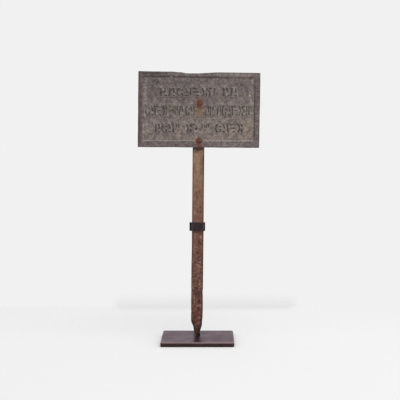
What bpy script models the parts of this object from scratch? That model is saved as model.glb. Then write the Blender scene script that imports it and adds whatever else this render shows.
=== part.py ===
"""A cast lead memorial plaque, riveted to a wrought iron stake and held up on a small steel stand.

Metres, +Z up. The front faces -Y, and the origin is the centre of the stand plate's underside.
The stake and all that is on it lean a little, so they hang from one empty at the stake's tip.
"""

import math

import bmesh
import bpy
from mathutils import Matrix, Vector
from mathutils.geometry import intersect_point_line

# Stand plate
BASE_WIDTH = 0.157
BASE_DEPTH = 0.1165
BASE_THICKNESS = 0.010
BASE_CORNER_RADIUS = 0.0045
BASE_EDGE_RADIUS = 0.0028

# Stake: a flat iron bar, hammered to a point at its foot
STAKE_WIDTH = 0.0254
STAKE_THICKNESS = 0.008
STAKE_EDGE_RADIUS = 0.0020
STAKE_SETBACK = 0.011
STAKE_LEAN = math.radians(0.57)
STAKE_END_PAST_RIVET = 0.0145
TIP_OFFSET = -0.0022
POINT_LENGTH = 0.040
POINT_THICKNESS = 0.005
RUSTED_ABOVE_POINT = 0.165
RUST_LOSS = 0.0004
RUST_SWELL = 0.0007
SWELL_START = 0.200
SWELL_FULL = 0.140

# Plaque: a lead casting with a raised frame band round a sunk field
PLAQUE_WIDTH = 0.261
PLAQUE_HEIGHT = 0.1621
PLAQUE_THICKNESS = 0.006
PLAQUE_EDGE_RADIUS = 0.0010
PLAQUE_SKEW = math.radians(0.31)
PLAQUE_FOOT_HEIGHT = 0.4096
FOOT_RISE = 0.0022
FRAME_SIDE = 0.0103
FRAME_TOP = 0.0107
FRAME_FOOT = 0.0137
FRAME_FOOT_RISE = 0.0033
FRAME_WALL = 0.0010
FIELD_DEPTH = 0.0016
DENT_DEPTH = 0.0031

# Inscription: rows of raised strokes that only stand for lettering
STROKE_HEIGHT = 0.0015
STROKE_ROOT = 0.0010
STROKE_DRAFT = 0.0003
ROW_TILT = math.radians(0.8)
STROKE_LIMIT = 0.15
HOLE_MARGIN = 0.0006

# Rivets, and the nail hole in the bottom row
RIVET_DIAMETER = 0.006
RIVET_HEAD_DIAMETER = 0.0115
RIVET_HEAD_HEIGHT = 0.0022
RIVET_TAIL_DIAMETER = 0.010
RIVET_TAIL_HEIGHT = 0.0020
RIVET_OFFSET = 0.0010
RIVET_LOWER_HEIGHT = 0.0155
RIVET_SPACING = 0.0805
SEAT_SINK = 0.0003
NAIL_HOLE_DIAMETER = 0.003
NAIL_HOLE_OFFSET = -0.0052
NAIL_HOLE_HEIGHT = 0.0407

# Clip, rod and pins of the stand
CLIP_HEIGHT = 0.0186
CLIP_CENTRE_HEIGHT = 0.2488
CLIP_WIDTH = 0.0340
BACK_PLATE_THICKNESS = 0.003
BACK_PLATE_BEVEL = 0.0004
STRAP_THICKNESS = 0.0012
STRAP_CLEARANCE = 0.0003
STRAP_CORNER_EASE = 0.0004
ROD_DIAMETER = 0.008
ROD_END_BEVEL = 0.0006
PIN_DIAMETER = 0.0026
PIN_HEIGHT = 0.0024
PIN_DOME_HEIGHT = 0.0008
PIN_CLEARANCE = 0.0005

# Pieces that touch are kept this far apart
CONTACT_GAP = 0.0003

# How far cutters reach past what they cut, and how finely curves are divided
CUT_MARGIN = 0.002
ROUND_SIDES = 24
CORNER_STEPS = 5
EDGE_STEPS = 3
DOME_STEPS = 4
ARC_STEPS = 4
SECTION_STEPS = 24
SMOOTH_ANGLE = math.radians(35)

# Half width of the stake's point, as shares of its full half width, at shares of the point's length:
# (share of length, left share, right share)
POINT_OUTLINE = (
    (0.00, 0.19, 0.18),
    (0.02, 0.25, 0.24),
    (0.08, 0.345, 0.36),
    (0.16, 0.43, 0.48),
    (0.27, 0.485, 0.60),
    (0.39, 0.56, 0.72),
    (0.49, 0.635, 0.82),
    (0.60, 0.755, 0.89),
    (0.71, 0.915, 0.905),
    (0.83, 0.975, 0.945),
    (1.00, 0.985, 1.00),
)

# The waves that rust has eaten into the stake's edges: (share, radians a metre), and their start on the
# left and right edge
RUST_WAVES = ((0.3, 150.0), (0.2, 390.0))
LEFT_PHASE = 0.0
RIGHT_PHASE = 2.1

# The dent in the plaque's top edge: where it starts, bottoms, starts to rise and ends, as shares of the
# width from the middle
DENT_SPAN = (-0.182, -0.113, -0.047, 0.185)

# One mark holds two or three separate strokes in a cell one wide and one high. A stroke is where it
# starts and ends across and up the cell, and its bow, which is how far its middle stands off sideways.
MARKS = (
    ((0.20, 0.00, 0.20, 1.00, 0.0), (0.68, 0.50, 0.68, 1.00, 0.0), (0.52, 0.08, 0.96, 0.08, 0.0)),
    ((0.16, 0.00, 0.32, 1.00, 0.0), (0.70, 1.00, 0.84, 0.36, 0.0), (0.60, 0.06, 0.88, 0.06, 0.0)),
    ((0.42, 1.00, 0.42, 0.00, -0.24), (0.67, 0.68, 0.96, 0.68, 0.0), (0.80, 0.40, 0.80, 0.00, 0.0)),
    ((0.84, 0.00, 0.84, 1.00, 0.0), (0.18, 1.00, 0.44, 0.42, 0.0), (0.08, 0.08, 0.54, 0.08, 0.0)),
    ((0.08, 0.92, 0.56, 0.92, 0.0), (0.12, 0.50, 0.90, 0.50, 0.0), (0.46, 0.08, 0.92, 0.08, 0.0)),
    ((0.24, 1.00, 0.24, 0.00, 0.20), (0.81, 0.00, 0.81, 0.42, 0.0), (0.84, 0.66, 0.84, 1.00, 0.0)),
    ((0.22, 0.00, 0.22, 0.62, 0.0), (0.76, 0.36, 0.76, 1.00, 0.0), (0.06, 0.92, 0.44, 0.92, 0.0)),
)

# A small mark sits high in its cell, with a dot under it
SMALL_MARK = ((0.22, 0.52, 0.22, 1.00, 0.0), (0.72, 0.52, 0.72, 1.00, 0.0), (0.38, 0.08, 0.60, 0.08, 0.0))

# A row is its middle height and its letter height as shares of the field's height, its stroke width as a
# share of the letter height, and its words: start and end as shares of the field's width from the
# middle, the number of marks, and whether they are small
ROWS = (
    (0.774, 0.162, 0.190, ((-0.353, 0.157, 7, False), (0.210, 0.345, 2, False))),
    (
        0.479,
        0.181,
        0.140,
        (
            (-0.486, -0.282, 4, False),
            (-0.264, -0.138, 3, False),
            (-0.124, 0.142, 6, False),
            (0.160, 0.250, 2, False),
            (0.264, 0.486, 5, False),
        ),
    ),
    (
        0.201,
        0.166,
        0.175,
        (
            (-0.402, -0.222, 3, False),
            (-0.212, -0.170, 1, True),
            (-0.128, 0.010, 2, False),
            (0.022, 0.098, 2, True),
            (0.142, 0.400, 4, False),
        ),
    ),
)


def clear_scene():
    """Removes every object that the file starts with."""
    for thing in list(bpy.data.objects):
        bpy.data.objects.remove(thing, do_unlink=True)


def make_material(name, colour, roughness, metallic):
    """A Principled material with one colour."""
    material = bpy.data.materials.new(name)
    material.use_nodes = True
    shader = material.node_tree.nodes["Principled BSDF"]
    shader.inputs["Base Color"].default_value = (*colour, 1.0)
    shader.inputs["Roughness"].default_value = roughness
    shader.inputs["Metallic"].default_value = metallic
    return material


def place(name, mesh, material=None, parent=None, location=(0, 0, 0), turn=0.0):
    """Links an object, turned about Y and placed under its parent."""
    thing = bpy.data.objects.new(name, mesh)
    bpy.context.scene.collection.objects.link(thing)
    thing.parent = parent
    thing.location = location
    thing.rotation_euler = (0.0, turn, 0.0)
    if material:
        mesh.materials.append(material)
    return thing


def finish_mesh(name, bm, smooth=True):
    """Turns all faces outward and writes a mesh, shaded smooth except at its sharp edges."""
    bmesh.ops.recalc_face_normals(bm, faces=bm.faces)
    mesh = bpy.data.meshes.new(name)
    bm.to_mesh(mesh)
    bm.free()
    if smooth:
        mesh.shade_smooth()
        mesh.set_sharp_from_angle(angle=SMOOTH_ANGLE)
    return mesh


def add_loft(bm, loops):
    """Adds a closed body to bm: loops of equally many points, bridged in order and capped at both ends."""
    rings = [[bm.verts.new(point) for point in loop] for loop in loops]
    for lower, upper in zip(rings, rings[1:]):
        for i, corner in enumerate(lower):
            j = (i + 1) % len(lower)
            bm.faces.new((corner, lower[j], upper[j], upper[i]))
    bm.faces.new(list(reversed(rings[0])))
    bm.faces.new(rings[-1])


def turned(name, profile, axis):
    """A body turned about the axis from (radius, place along the axis) points that start and end on it."""
    bm = bmesh.new()
    along = Vector(axis)
    out = Vector((1.0, 0.0, 0.0))
    line = [bm.verts.new(out * radius + along * place_along) for radius, place_along in profile]
    edges = [bm.edges.new(pair) for pair in zip(line, line[1:])]
    whole = math.tau
    bmesh.ops.spin(bm, geom=line + edges, cent=(0, 0, 0), axis=along, angle=whole, steps=ROUND_SIDES)
    bmesh.ops.remove_doubles(bm, verts=bm.verts, dist=1e-6)
    return finish_mesh(name, bm)


def quarter_round(radius, steps):
    """(inset, rise) points from the side of an edge to its top, along a quarter circle."""
    turns = [math.pi / 2 * i / steps for i in range(steps + 1)]
    return [(radius * (1 - math.cos(a)), radius * math.sin(a)) for a in turns]


def rounded_rectangle(width, depth, radius, steps):
    """Points round a rectangle with round corners, counter-clockwise, centred."""
    points = []
    for quarter in range(4):
        start = quarter * math.pi / 2
        side_x = 1 if quarter in (0, 3) else -1
        side_y = 1 if quarter in (0, 1) else -1
        centre = (side_x * (width / 2 - radius), side_y * (depth / 2 - radius))
        for i in range(steps + 1):
            angle = start + math.pi / 2 * i / steps
            points.append((centre[0] + radius * math.cos(angle), centre[1] + radius * math.sin(angle)))
    return points


def smooth_share(value, start, end):
    """0 before start, 1 after end, and a smooth rise between."""
    share = min(1.0, max(0.0, (value - start) / (end - start)))
    return share * share * (3 - 2 * share)


def cut(thing, cutter, operation="DIFFERENCE"):
    """Adds an exact Boolean with a hidden helper object."""
    cutter.hide_render = True
    cutter.display_type = "WIRE"
    modifier = thing.modifiers.new(cutter.name, "BOOLEAN")
    modifier.operation = operation
    modifier.solver = "EXACT"
    modifier.object = cutter


def base_mesh():
    """The stand plate: round corners and a rounded top edge."""
    bm = bmesh.new()
    profile = [(0.0, 0.0)]
    shoulder = BASE_THICKNESS - BASE_EDGE_RADIUS
    profile += [(inset, shoulder + rise) for inset, rise in quarter_round(BASE_EDGE_RADIUS, EDGE_STEPS)]
    loops = []
    for inset, height in profile:
        outline = rounded_rectangle(
            BASE_WIDTH - 2 * inset, BASE_DEPTH - 2 * inset, BASE_CORNER_RADIUS - inset, CORNER_STEPS
        )
        loops.append([(x, y, height) for x, y in outline])
    add_loft(bm, loops)
    return finish_mesh("stand_base", bm)


def rust_swell(height):
    """How far rust scale stands out on the stake's left edge: all of it low down, and none higher up."""
    return RUST_SWELL * smooth_share(height, SWELL_START, SWELL_FULL)


def half_widths(height):
    """(left, right) half widths of the stake at a height above its tip, the left with its rust scale."""
    full = (STAKE_WIDTH / 2 + rust_swell(height), STAKE_WIDTH / 2)
    share = height / POINT_LENGTH
    for (low, *low_sides), (high, *high_sides) in zip(POINT_OUTLINE, POINT_OUTLINE[1:]):
        if share <= high:
            t = (share - low) / (high - low)
            return tuple(half * (a + (b - a) * t) for half, a, b in zip(full, low_sides, high_sides))
    return full


def rust_loss(height, phase):
    """How much rust has eaten from an edge of the stake, a slow wave that dies out upward and at the tip."""
    wave = 0.5 + sum(share * math.sin(turns * height + phase) for share, turns in RUST_WAVES)
    rusted_end = POINT_LENGTH + RUSTED_ABOVE_POINT
    fade = smooth_share(height, rusted_end, POINT_LENGTH) * smooth_share(height, 0.0, POINT_LENGTH)
    return RUST_LOSS * wave * fade


def stake_heights():
    """Heights of the stake's cross sections: close in the point and the rusted end, and none between."""
    heights = [share * POINT_LENGTH for share, _, _ in POINT_OUTLINE]
    step = RUSTED_ABOVE_POINT / SECTION_STEPS
    heights += [POINT_LENGTH + step * (i + 1) for i in range(SECTION_STEPS)]
    return heights + [stake_length() - STAKE_EDGE_RADIUS, stake_length()]


def stake_length():
    """The stake reaches from its tip to a little past the upper rivet."""
    return PLAQUE_FOOT_HEIGHT + RIVET_LOWER_HEIGHT + RIVET_SPACING + STAKE_END_PAST_RIVET


def stake_section(height):
    """Points round the stake at a height: a flat bar with eased edges."""
    left, right = half_widths(height)
    left -= rust_loss(height, LEFT_PHASE)
    right -= rust_loss(height, RIGHT_PHASE)
    thin = smooth_share(height, 0.0, POINT_LENGTH)
    thickness = POINT_THICKNESS + (STAKE_THICKNESS - POINT_THICKNESS) * thin
    end_inset = STAKE_EDGE_RADIUS if height >= stake_length() else 0.0
    width = left + right - 2 * end_inset
    radius = min(STAKE_EDGE_RADIUS, 0.3 * width)
    outline = rounded_rectangle(width, thickness - 2 * end_inset, radius, EDGE_STEPS)
    return [(x + (right - left) / 2, y, height) for x, y in outline]


def stake_mesh():
    """The bar, lofted from its cross sections."""
    bm = bmesh.new()
    add_loft(bm, [stake_section(height) for height in stake_heights()])
    return finish_mesh("stake", bm)


def dent(x):
    """How far the plaque's top edge sags at x."""
    start, bottom, rise, end = (share * PLAQUE_WIDTH for share in DENT_SPAN)
    return DENT_DEPTH * smooth_share(x, start, bottom) * (1 - smooth_share(x, rise, end))


def plaque_outline(inset_side, inset_top, inset_foot, foot_rise, dent_share):
    """(x, z) points round the plaque, clockwise from its upper left corner, with a share of the dent
    along its top and its foot rising to the right."""
    half = PLAQUE_WIDTH / 2 - inset_side
    top_steps = 28
    foot_steps = 4
    points = []
    for i in range(top_steps + 1):
        x = -half + 2 * half * i / top_steps
        points.append((x, PLAQUE_HEIGHT - inset_top - dent_share * dent(x)))
    for i in range(foot_steps + 1):
        x = half - 2 * half * i / foot_steps
        points.append((x, inset_foot + foot_rise * (x / PLAQUE_WIDTH + 0.5)))
    return points


def plaque_mesh():
    """The casting without its inscription: back, eased front edge, frame band and sunk field."""
    bm = bmesh.new()
    shoulder = PLAQUE_THICKNESS - PLAQUE_EDGE_RADIUS
    front_edge = quarter_round(PLAQUE_EDGE_RADIUS, EDGE_STEPS)
    levels = [(0.0, 0.0)] + [(inset, shoulder + rise) for inset, rise in front_edge]
    loops = []
    for inset, depth in levels:
        outline = plaque_outline(inset, inset, inset, FOOT_RISE, 1.0)
        loops.append([(x, -depth, z) for x, z in outline])
    for wall, depth in ((0.0, PLAQUE_THICKNESS), (FRAME_WALL, PLAQUE_THICKNESS - FIELD_DEPTH)):
        insets = (side + wall for side in (FRAME_SIDE, FRAME_TOP, FRAME_FOOT))
        outline = plaque_outline(*insets, FRAME_FOOT_RISE, 0.0)
        loops.append([(x, -depth, z) for x, z in outline])
    add_loft(bm, loops)
    return finish_mesh("plaque", bm, smooth=False)


def field_box():
    """(width, bottom, height) of the flat field inside the frame band, at its middle."""
    width = PLAQUE_WIDTH - 2 * (FRAME_SIDE + FRAME_WALL)
    bottom = FRAME_FOOT + FRAME_WALL + FRAME_FOOT_RISE / 2
    return width, bottom, PLAQUE_HEIGHT - FRAME_TOP - FRAME_WALL - bottom


def stroke_line(start, end, bow):
    """Points along a stroke: two for a straight one, more for one bowed sideways, on a parabola."""
    if not bow:
        return [start, end]
    off = Vector((bow, 0.0))
    steps = [i / ARC_STEPS for i in range(ARC_STEPS + 1)]
    return [start.lerp(end, t) + off * 4 * t * (1 - t) for t in steps]


def stroke_outline(line, half_width):
    """The outline of a stroke: its line, offset to both sides, with square ends."""
    left, right = [], []
    for i, point in enumerate(line):
        before = line[max(i - 1, 0)]
        after = line[min(i + 1, len(line) - 1)]
        side = (after - before).normalized()
        side = Vector((-side.y, side.x)) * half_width
        left.append(point + side)
        right.append(point - side)
    return left + right[::-1]


def mark_strokes(mark, corner, pitch, letter, half_width):
    """The strokes of one mark as (line, half width), in a cell with its lower left corner given."""
    rise = letter - 2 * half_width
    strokes = []
    for start_x, start_z, end_x, end_z, bow in mark:
        start = corner + Vector((pitch * start_x, half_width + rise * start_z))
        end = corner + Vector((pitch * end_x, half_width + rise * end_z))
        strokes.append((stroke_line(start, end, pitch * bow), half_width))
    return strokes


def row_strokes():
    """Every stroke of the inscription, as (line in plaque x and z, half width)."""
    field_width, field_bottom, field_height = field_box()
    strokes = []
    marks_made = 0
    for middle_share, height_share, weight_share, words in ROWS:
        letter = field_height * height_share
        foot = field_bottom + field_height * middle_share - letter / 2
        for start_share, end_share, marks, small in words:
            start = field_width * start_share
            pitch = field_width * (end_share - start_share) / marks
            half_width = min(letter * weight_share / 2, pitch * STROKE_LIMIT)
            for i in range(marks):
                mark = SMALL_MARK if small else MARKS[marks_made % len(MARKS)]
                corner = Vector((start + pitch * i, foot))
                strokes += mark_strokes(mark, corner, pitch, letter, half_width)
                marks_made += 1
    return strokes


def clear_of_holes(line, half_width):
    """Whether a stroke keeps off the rivets' seats and the nail hole."""
    seat = RIVET_HEAD_DIAMETER / 2 + CONTACT_GAP
    holes = [(Vector(spot), seat) for spot in rivet_places()]
    holes.append((Vector((NAIL_HOLE_OFFSET, NAIL_HOLE_HEIGHT)), NAIL_HOLE_DIAMETER / 2))
    for start, end in zip(line, line[1:]):
        for spot, radius in holes:
            _, share = intersect_point_line(spot, start, end)
            nearest = start.lerp(end, min(1.0, max(0.0, share)))
            if (spot - nearest).length < radius + half_width + HOLE_MARGIN:
                return False
    return True


def inscription_mesh():
    """All strokes as low tapered bodies, rooted in the field so that they join it."""
    bm = bmesh.new()
    field_width, field_bottom, field_height = field_box()
    middle = Vector((0.0, field_bottom + field_height / 2))
    tilt = Matrix.Rotation(ROW_TILT, 2)
    field = PLAQUE_THICKNESS - FIELD_DEPTH
    for line, half_width in row_strokes():
        line = [middle + tilt @ (point - middle) for point in line]
        if not clear_of_holes(line, half_width):
            continue
        foot = stroke_outline(line, half_width)
        head = stroke_outline(line, half_width - STROKE_DRAFT)
        loops = [[(p.x, -(field - STROKE_ROOT), p.y) for p in foot]]
        loops.append([(p.x, -field, p.y) for p in foot])
        loops.append([(p.x, -(field + STROKE_HEIGHT), p.y) for p in head])
        add_loft(bm, loops)
    return finish_mesh("inscription", bm, smooth=False)


def rivet_places():
    """(x, z) of both rivets on the plaque, lower first."""
    return [(RIVET_OFFSET, RIVET_LOWER_HEIGHT), (RIVET_OFFSET, RIVET_LOWER_HEIGHT + RIVET_SPACING)]


def dome(radius, height):
    """(radius, rise) points over a low dome, from its rim to its crown."""
    turns = [math.pi / 2 * i / DOME_STEPS for i in range(DOME_STEPS)]
    return [(radius * math.cos(a), height * math.sin(a)) for a in turns] + [(0.0, height)]


def seat_depth():
    """Where the seats' floor lies, sunk a little into the field, in front of the stake's middle."""
    return STAKE_THICKNESS / 2 + CONTACT_GAP + PLAQUE_THICKNESS - FIELD_DEPTH - SEAT_SINK


def rivet_mesh():
    """A rivet along Y: hammered head on its seat, shank, and tail behind the stake."""
    seat = -(seat_depth() + CONTACT_GAP)
    back = STAKE_THICKNESS / 2 + CONTACT_GAP
    shank = RIVET_DIAMETER / 2
    head = [(r, seat - rise) for r, rise in dome(RIVET_HEAD_DIAMETER / 2, RIVET_HEAD_HEIGHT)]
    tail = [(r, back + rise) for r, rise in dome(RIVET_TAIL_DIAMETER / 2, RIVET_TAIL_HEIGHT)]
    return turned("rivet", head[::-1] + [(shank, seat), (shank, back)] + tail, (0, 1, 0))


def hole_cutter(name, radius, seat_radius=None):
    """A cutter along Y through plaque and stake, with an optional wider seat in front of the field."""
    back = STAKE_THICKNESS + CUT_MARGIN
    front = -(STAKE_THICKNESS + PLAQUE_THICKNESS + CUT_MARGIN)
    profile = [(0.0, front), (seat_radius or radius, front)]
    if seat_radius:
        profile += [(seat_radius, -seat_depth()), (radius, -seat_depth())]
    profile += [(radius, back), (0.0, back)]
    return turned(name, profile, (0, 1, 0))


def strap_line(half_width, front, back, reach, corner_radius):
    """(x, y) line of the strap's inner face: flange, side, round corner, front, and the same mirrored."""
    side = [(half_width + reach, back), (half_width, back), (half_width, front + corner_radius)]
    for i in range(1, CORNER_STEPS + 1):
        angle = math.pi / 2 * i / CORNER_STEPS
        x = half_width - corner_radius * (1 - math.cos(angle))
        side.append((x, front + corner_radius * (1 - math.sin(angle))))
    return side + [(-x, y) for x, y in reversed(side)]


def strap_mesh(stake_front, plate_front):
    """The strap over the stake's front: a bent strip with a flange each side, as tall as the clip."""
    inner_half = STAKE_WIDTH / 2 + STRAP_CLEARANCE + math.tan(STAKE_LEAN) * CLIP_HEIGHT / 2
    inner_radius = STAKE_EDGE_RADIUS + STRAP_CLEARANCE + STRAP_CORNER_EASE
    flange_back = plate_front - CONTACT_GAP
    front = stake_front - STRAP_CLEARANCE
    reach = CLIP_WIDTH / 2 - inner_half
    inner = strap_line(inner_half, front, flange_back, reach, inner_radius)
    outer = strap_line(
        inner_half + STRAP_THICKNESS,
        front - STRAP_THICKNESS,
        flange_back - STRAP_THICKNESS,
        reach - STRAP_THICKNESS,
        inner_radius + STRAP_THICKNESS,
    )
    outline = inner + outer[::-1]
    bm = bmesh.new()
    low = CLIP_CENTRE_HEIGHT - CLIP_HEIGHT / 2
    add_loft(bm, [[(x, y, z) for x, y in outline] for z in (low, low + CLIP_HEIGHT)])
    return finish_mesh("clip_strap", bm)


def back_plate_mesh():
    """The clip's flat plate behind the stake, with eased edges."""
    bm = bmesh.new()
    bmesh.ops.create_cube(bm, size=1.0)
    size = (CLIP_WIDTH, BACK_PLATE_THICKNESS, CLIP_HEIGHT)
    bmesh.ops.scale(bm, vec=size, verts=bm.verts)
    bmesh.ops.bevel(bm, geom=bm.edges, offset=BACK_PLATE_BEVEL, segments=2, profile=0.5, affect="EDGES")
    return finish_mesh("clip_back_plate", bm)


def rod_mesh(length):
    """The round upright behind the stake, with an eased top end."""
    radius = ROD_DIAMETER / 2
    profile = [(0.0, 0.0), (radius, 0.0), (radius, length - ROD_END_BEVEL)]
    return turned("stand_rod", profile + [(radius - ROD_END_BEVEL, length), (0.0, length)], (0, 0, 1))


def pin_mesh():
    """A short pin with a domed end."""
    radius = PIN_DIAMETER / 2
    crown = [(r, PIN_HEIGHT - PIN_DOME_HEIGHT + rise) for r, rise in dome(radius, PIN_DOME_HEIGHT)]
    return turned("tip_pin", [(0.0, 0.0), (radius, 0.0)] + crown, (0, 0, 1))


def build_stand(steel, black):
    """The stand plate, rod, clip and the two pins beside the stake's tip."""
    place("stand_base", base_mesh(), steel)
    stake_front = STAKE_SETBACK - STAKE_THICKNESS / 2
    plate_front = STAKE_SETBACK + STAKE_THICKNESS / 2 + CONTACT_GAP
    clip_x = TIP_OFFSET + math.tan(STAKE_LEAN) * (CLIP_CENTRE_HEIGHT - BASE_THICKNESS)
    place("clip_strap", strap_mesh(stake_front, plate_front), black, location=(clip_x, 0, 0))
    plate_y = plate_front + BACK_PLATE_THICKNESS / 2
    place("clip_back_plate", back_plate_mesh(), black, location=(clip_x, plate_y, CLIP_CENTRE_HEIGHT))
    rod_foot = BASE_THICKNESS + CONTACT_GAP
    rod_y = plate_front + BACK_PLATE_THICKNESS + CONTACT_GAP + ROD_DIAMETER / 2
    rod_length = CLIP_CENTRE_HEIGHT + CLIP_HEIGHT / 2 - rod_foot
    place("stand_rod", rod_mesh(rod_length), black, location=(clip_x, rod_y, rod_foot))
    left, right = half_widths(PIN_HEIGHT + CONTACT_GAP)
    for side, half in (("left", -left), ("right", right)):
        reach = math.copysign(PIN_CLEARANCE + PIN_DIAMETER / 2, half)
        spot = (TIP_OFFSET + half + reach, STAKE_SETBACK, BASE_THICKNESS + CONTACT_GAP)
        place(f"tip_pin_{side}", pin_mesh(), black, location=spot)


def build_marker(lead, iron, rivet_iron):
    """The stake, the plaque on its front and the rivets through both, under one leaning empty."""
    tip = (TIP_OFFSET, STAKE_SETBACK, BASE_THICKNESS + CONTACT_GAP)
    foot = place("stake_tip", None, location=tip, turn=STAKE_LEAN)
    stake = place("stake", stake_mesh(), iron, foot)

    to_middle = STAKE_THICKNESS / 2 + CONTACT_GAP
    hang = place("plaque_hang", None, None, foot, (0.0, -to_middle, PLAQUE_FOOT_HEIGHT), PLAQUE_SKEW)
    plaque = place("plaque", plaque_mesh(), lead, hang)
    cut(plaque, place("inscription", inscription_mesh(), lead, hang), "UNION")

    hole = RIVET_DIAMETER / 2 + CONTACT_GAP
    seat = RIVET_HEAD_DIAMETER / 2 + CONTACT_GAP
    for name, (x, z) in zip(("rivet_lower", "rivet_upper"), rivet_places()):
        spot = (x, to_middle, z)
        place(name, rivet_mesh(), rivet_iron, hang, spot)
        cutter = place(f"{name}_hole", hole_cutter(f"{name}_hole", hole, seat), None, hang, spot)
        cut(plaque, cutter)
        cut(stake, cutter)
    nail = hole_cutter("nail_hole", NAIL_HOLE_DIAMETER / 2)
    cut(plaque, place("nail_hole", nail, None, hang, (NAIL_HOLE_OFFSET, to_middle, NAIL_HOLE_HEIGHT)))


def main():
    """Builds the whole object."""
    clear_scene()
    lead = make_material("lead", (0.150, 0.130, 0.123), 0.70, 0.35)
    iron = make_material("rusted_iron", (0.140, 0.072, 0.048), 0.85, 0.10)
    rivet_iron = make_material("rivet_iron", (0.095, 0.042, 0.030), 0.85, 0.10)
    steel = make_material("bronzed_steel", (0.060, 0.042, 0.044), 0.38, 0.70)
    black = make_material("black_steel", (0.020, 0.018, 0.019), 0.50, 0.50)
    build_stand(steel, black)
    build_marker(lead, iron, rivet_iron)


main()
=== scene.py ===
"""The looks of a cast lead memorial plaque on its iron stake, held up on a small steel stand.

Every new piece is a closed surface worked out with numpy, in metres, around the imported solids.
"""

import logging
import math
from collections.abc import Sequence
from dataclasses import dataclass
from enum import Enum

import bpy
import numpy as np
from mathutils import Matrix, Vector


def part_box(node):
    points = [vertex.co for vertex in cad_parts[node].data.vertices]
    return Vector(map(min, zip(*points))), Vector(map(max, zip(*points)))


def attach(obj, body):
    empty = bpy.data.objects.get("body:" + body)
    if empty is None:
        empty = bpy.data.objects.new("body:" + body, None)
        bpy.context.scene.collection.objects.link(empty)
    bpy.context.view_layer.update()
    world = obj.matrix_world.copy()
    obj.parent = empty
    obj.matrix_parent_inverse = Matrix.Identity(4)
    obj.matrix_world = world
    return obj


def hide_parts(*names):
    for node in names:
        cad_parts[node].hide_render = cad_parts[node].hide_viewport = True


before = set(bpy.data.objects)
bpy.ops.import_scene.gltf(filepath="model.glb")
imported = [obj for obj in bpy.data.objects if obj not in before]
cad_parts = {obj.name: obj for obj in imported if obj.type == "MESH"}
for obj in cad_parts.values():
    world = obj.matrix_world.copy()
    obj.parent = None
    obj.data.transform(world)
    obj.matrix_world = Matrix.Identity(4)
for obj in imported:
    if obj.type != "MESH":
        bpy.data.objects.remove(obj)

log = logging.getLogger("plaque")

MM = 0.001

STAKE_LEAN = math.radians(0.57)
PLAQUE_SKEW = math.radians(0.31)
PLAQUE_FOOT_HEIGHT = 409.6 * MM
TIP_OFFSET = -2.2 * MM
RIVET_HOLE_RADIUS = 3.3 * MM
SHARP_DEGREES = 60.0
WHITE = (1.0, 1.0, 1.0)
BLACK = (0.0, 0.0, 0.0)

Colour = tuple[float, float, float]
Block = tuple[int, int, int, int]
Hole = tuple[float, float, float]
Stroke = tuple[float, float, float, float, float]
Values = dict[str, np.ndarray]
Socket = bpy.types.NodeSocket
Material = bpy.types.Material
Piece = bpy.types.Object


class Slot(Enum):
    """The record's material slots."""

    LEAD = "lead"
    STAKE_IRON = "rusted_iron"
    RIVET_IRON = "rivet_iron"
    BLACK_STEEL = "black_steel"
    BRONZED_STEEL = "bronzed_steel"


def smooth(value: np.ndarray, low: float, high: float) -> np.ndarray:
    """A smooth step: 0 at low, 1 at high, and 3t^2 - 2t^3 of the share t between.

    Args:
        value: The values to grade.
        low: Where the step starts; it may lie above high.
        high: Where the step ends.

    Returns:
        The graded values, from 0 to 1.
    """
    t = np.clip((value - low) / (high - low), 0.0, 1.0)
    return t * t * (3.0 - 2.0 * t)


def blur(values: np.ndarray, passes: int) -> np.ndarray:
    """Each value of a grid replaced by the mean of itself and its four neighbours, several times.

    Args:
        values: A grid of two dimensions.
        passes: How many times it is done.

    Returns:
        The softened grid.
    """
    for _ in range(passes):
        wide = np.pad(values, 1, mode="edge")
        around = wide[:-2, 1:-1] + wide[2:, 1:-1] + wide[1:-1, :-2] + wide[1:-1, 2:]
        values = (values + around) / 5.0
    return values


def srgb(red: float, green: float, blue: float) -> Colour:
    """A display colour as the shader's linear one.

    Args:
        red: Red, from 0 to 255.
        green: Green, from 0 to 255.
        blue: Blue, from 0 to 255.

    Returns:
        The linear colour.
    """
    shares = np.array((red, green, blue)) / 255.0
    linear = np.where(shares <= 0.04045, shares / 12.92, ((shares + 0.055) / 1.055) ** 2.4)
    return tuple(float(x) for x in linear)


class Grain:
    """Smooth value noise on a repeating lattice of seeded random numbers."""

    SIDE = 32

    def __init__(self, seed: int) -> None:
        """Fills the lattice.

        Args:
            seed: Starts the random numbers, so that each run gives the same lattice.
        """
        self.table = np.random.default_rng(seed).random((self.SIDE,) * 3)

    def layer(self, points: np.ndarray, size: float) -> np.ndarray:
        """One layer: the eight lattice values around a point, blended by 3t^2 - 2t^3 on each axis.

        Args:
            points: Places, with the last dimension of three.
            size: The lattice's pitch, in metres.

        Returns:
            A value from -1 to 1 for each place.
        """
        scaled = points / size
        cell = np.floor(scaled).astype(int)
        t = scaled - cell
        t = t * t * (3.0 - 2.0 * t)
        total = np.zeros(points.shape[:-1])
        for corner in np.ndindex(2, 2, 2):
            weight = np.prod(np.where(corner, t, 1.0 - t), axis=-1)
            i, j, k = np.moveaxis((cell + corner) % self.SIDE, -1, 0)
            total += weight * self.table[i, j, k]
        return 2.0 * total - 1.0

    def rough(self, points: np.ndarray, size: float, layers: int = 4) -> np.ndarray:
        """Several layers, each half the size and half the strength of the one before.

        Args:
            points: Places, with the last dimension of three.
            size: The largest layer's pitch, in metres.
            layers: How many layers are added.

        Returns:
            A value of about -1 to 1 for each place.
        """
        shares = 0.5 ** np.arange(layers)
        stack = [share * self.layer(points + 17.0 * n * size, size * share) for n, share in enumerate(shares)]
        return np.sum(stack, axis=0) / np.sqrt(np.sum(shares**2))


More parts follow.
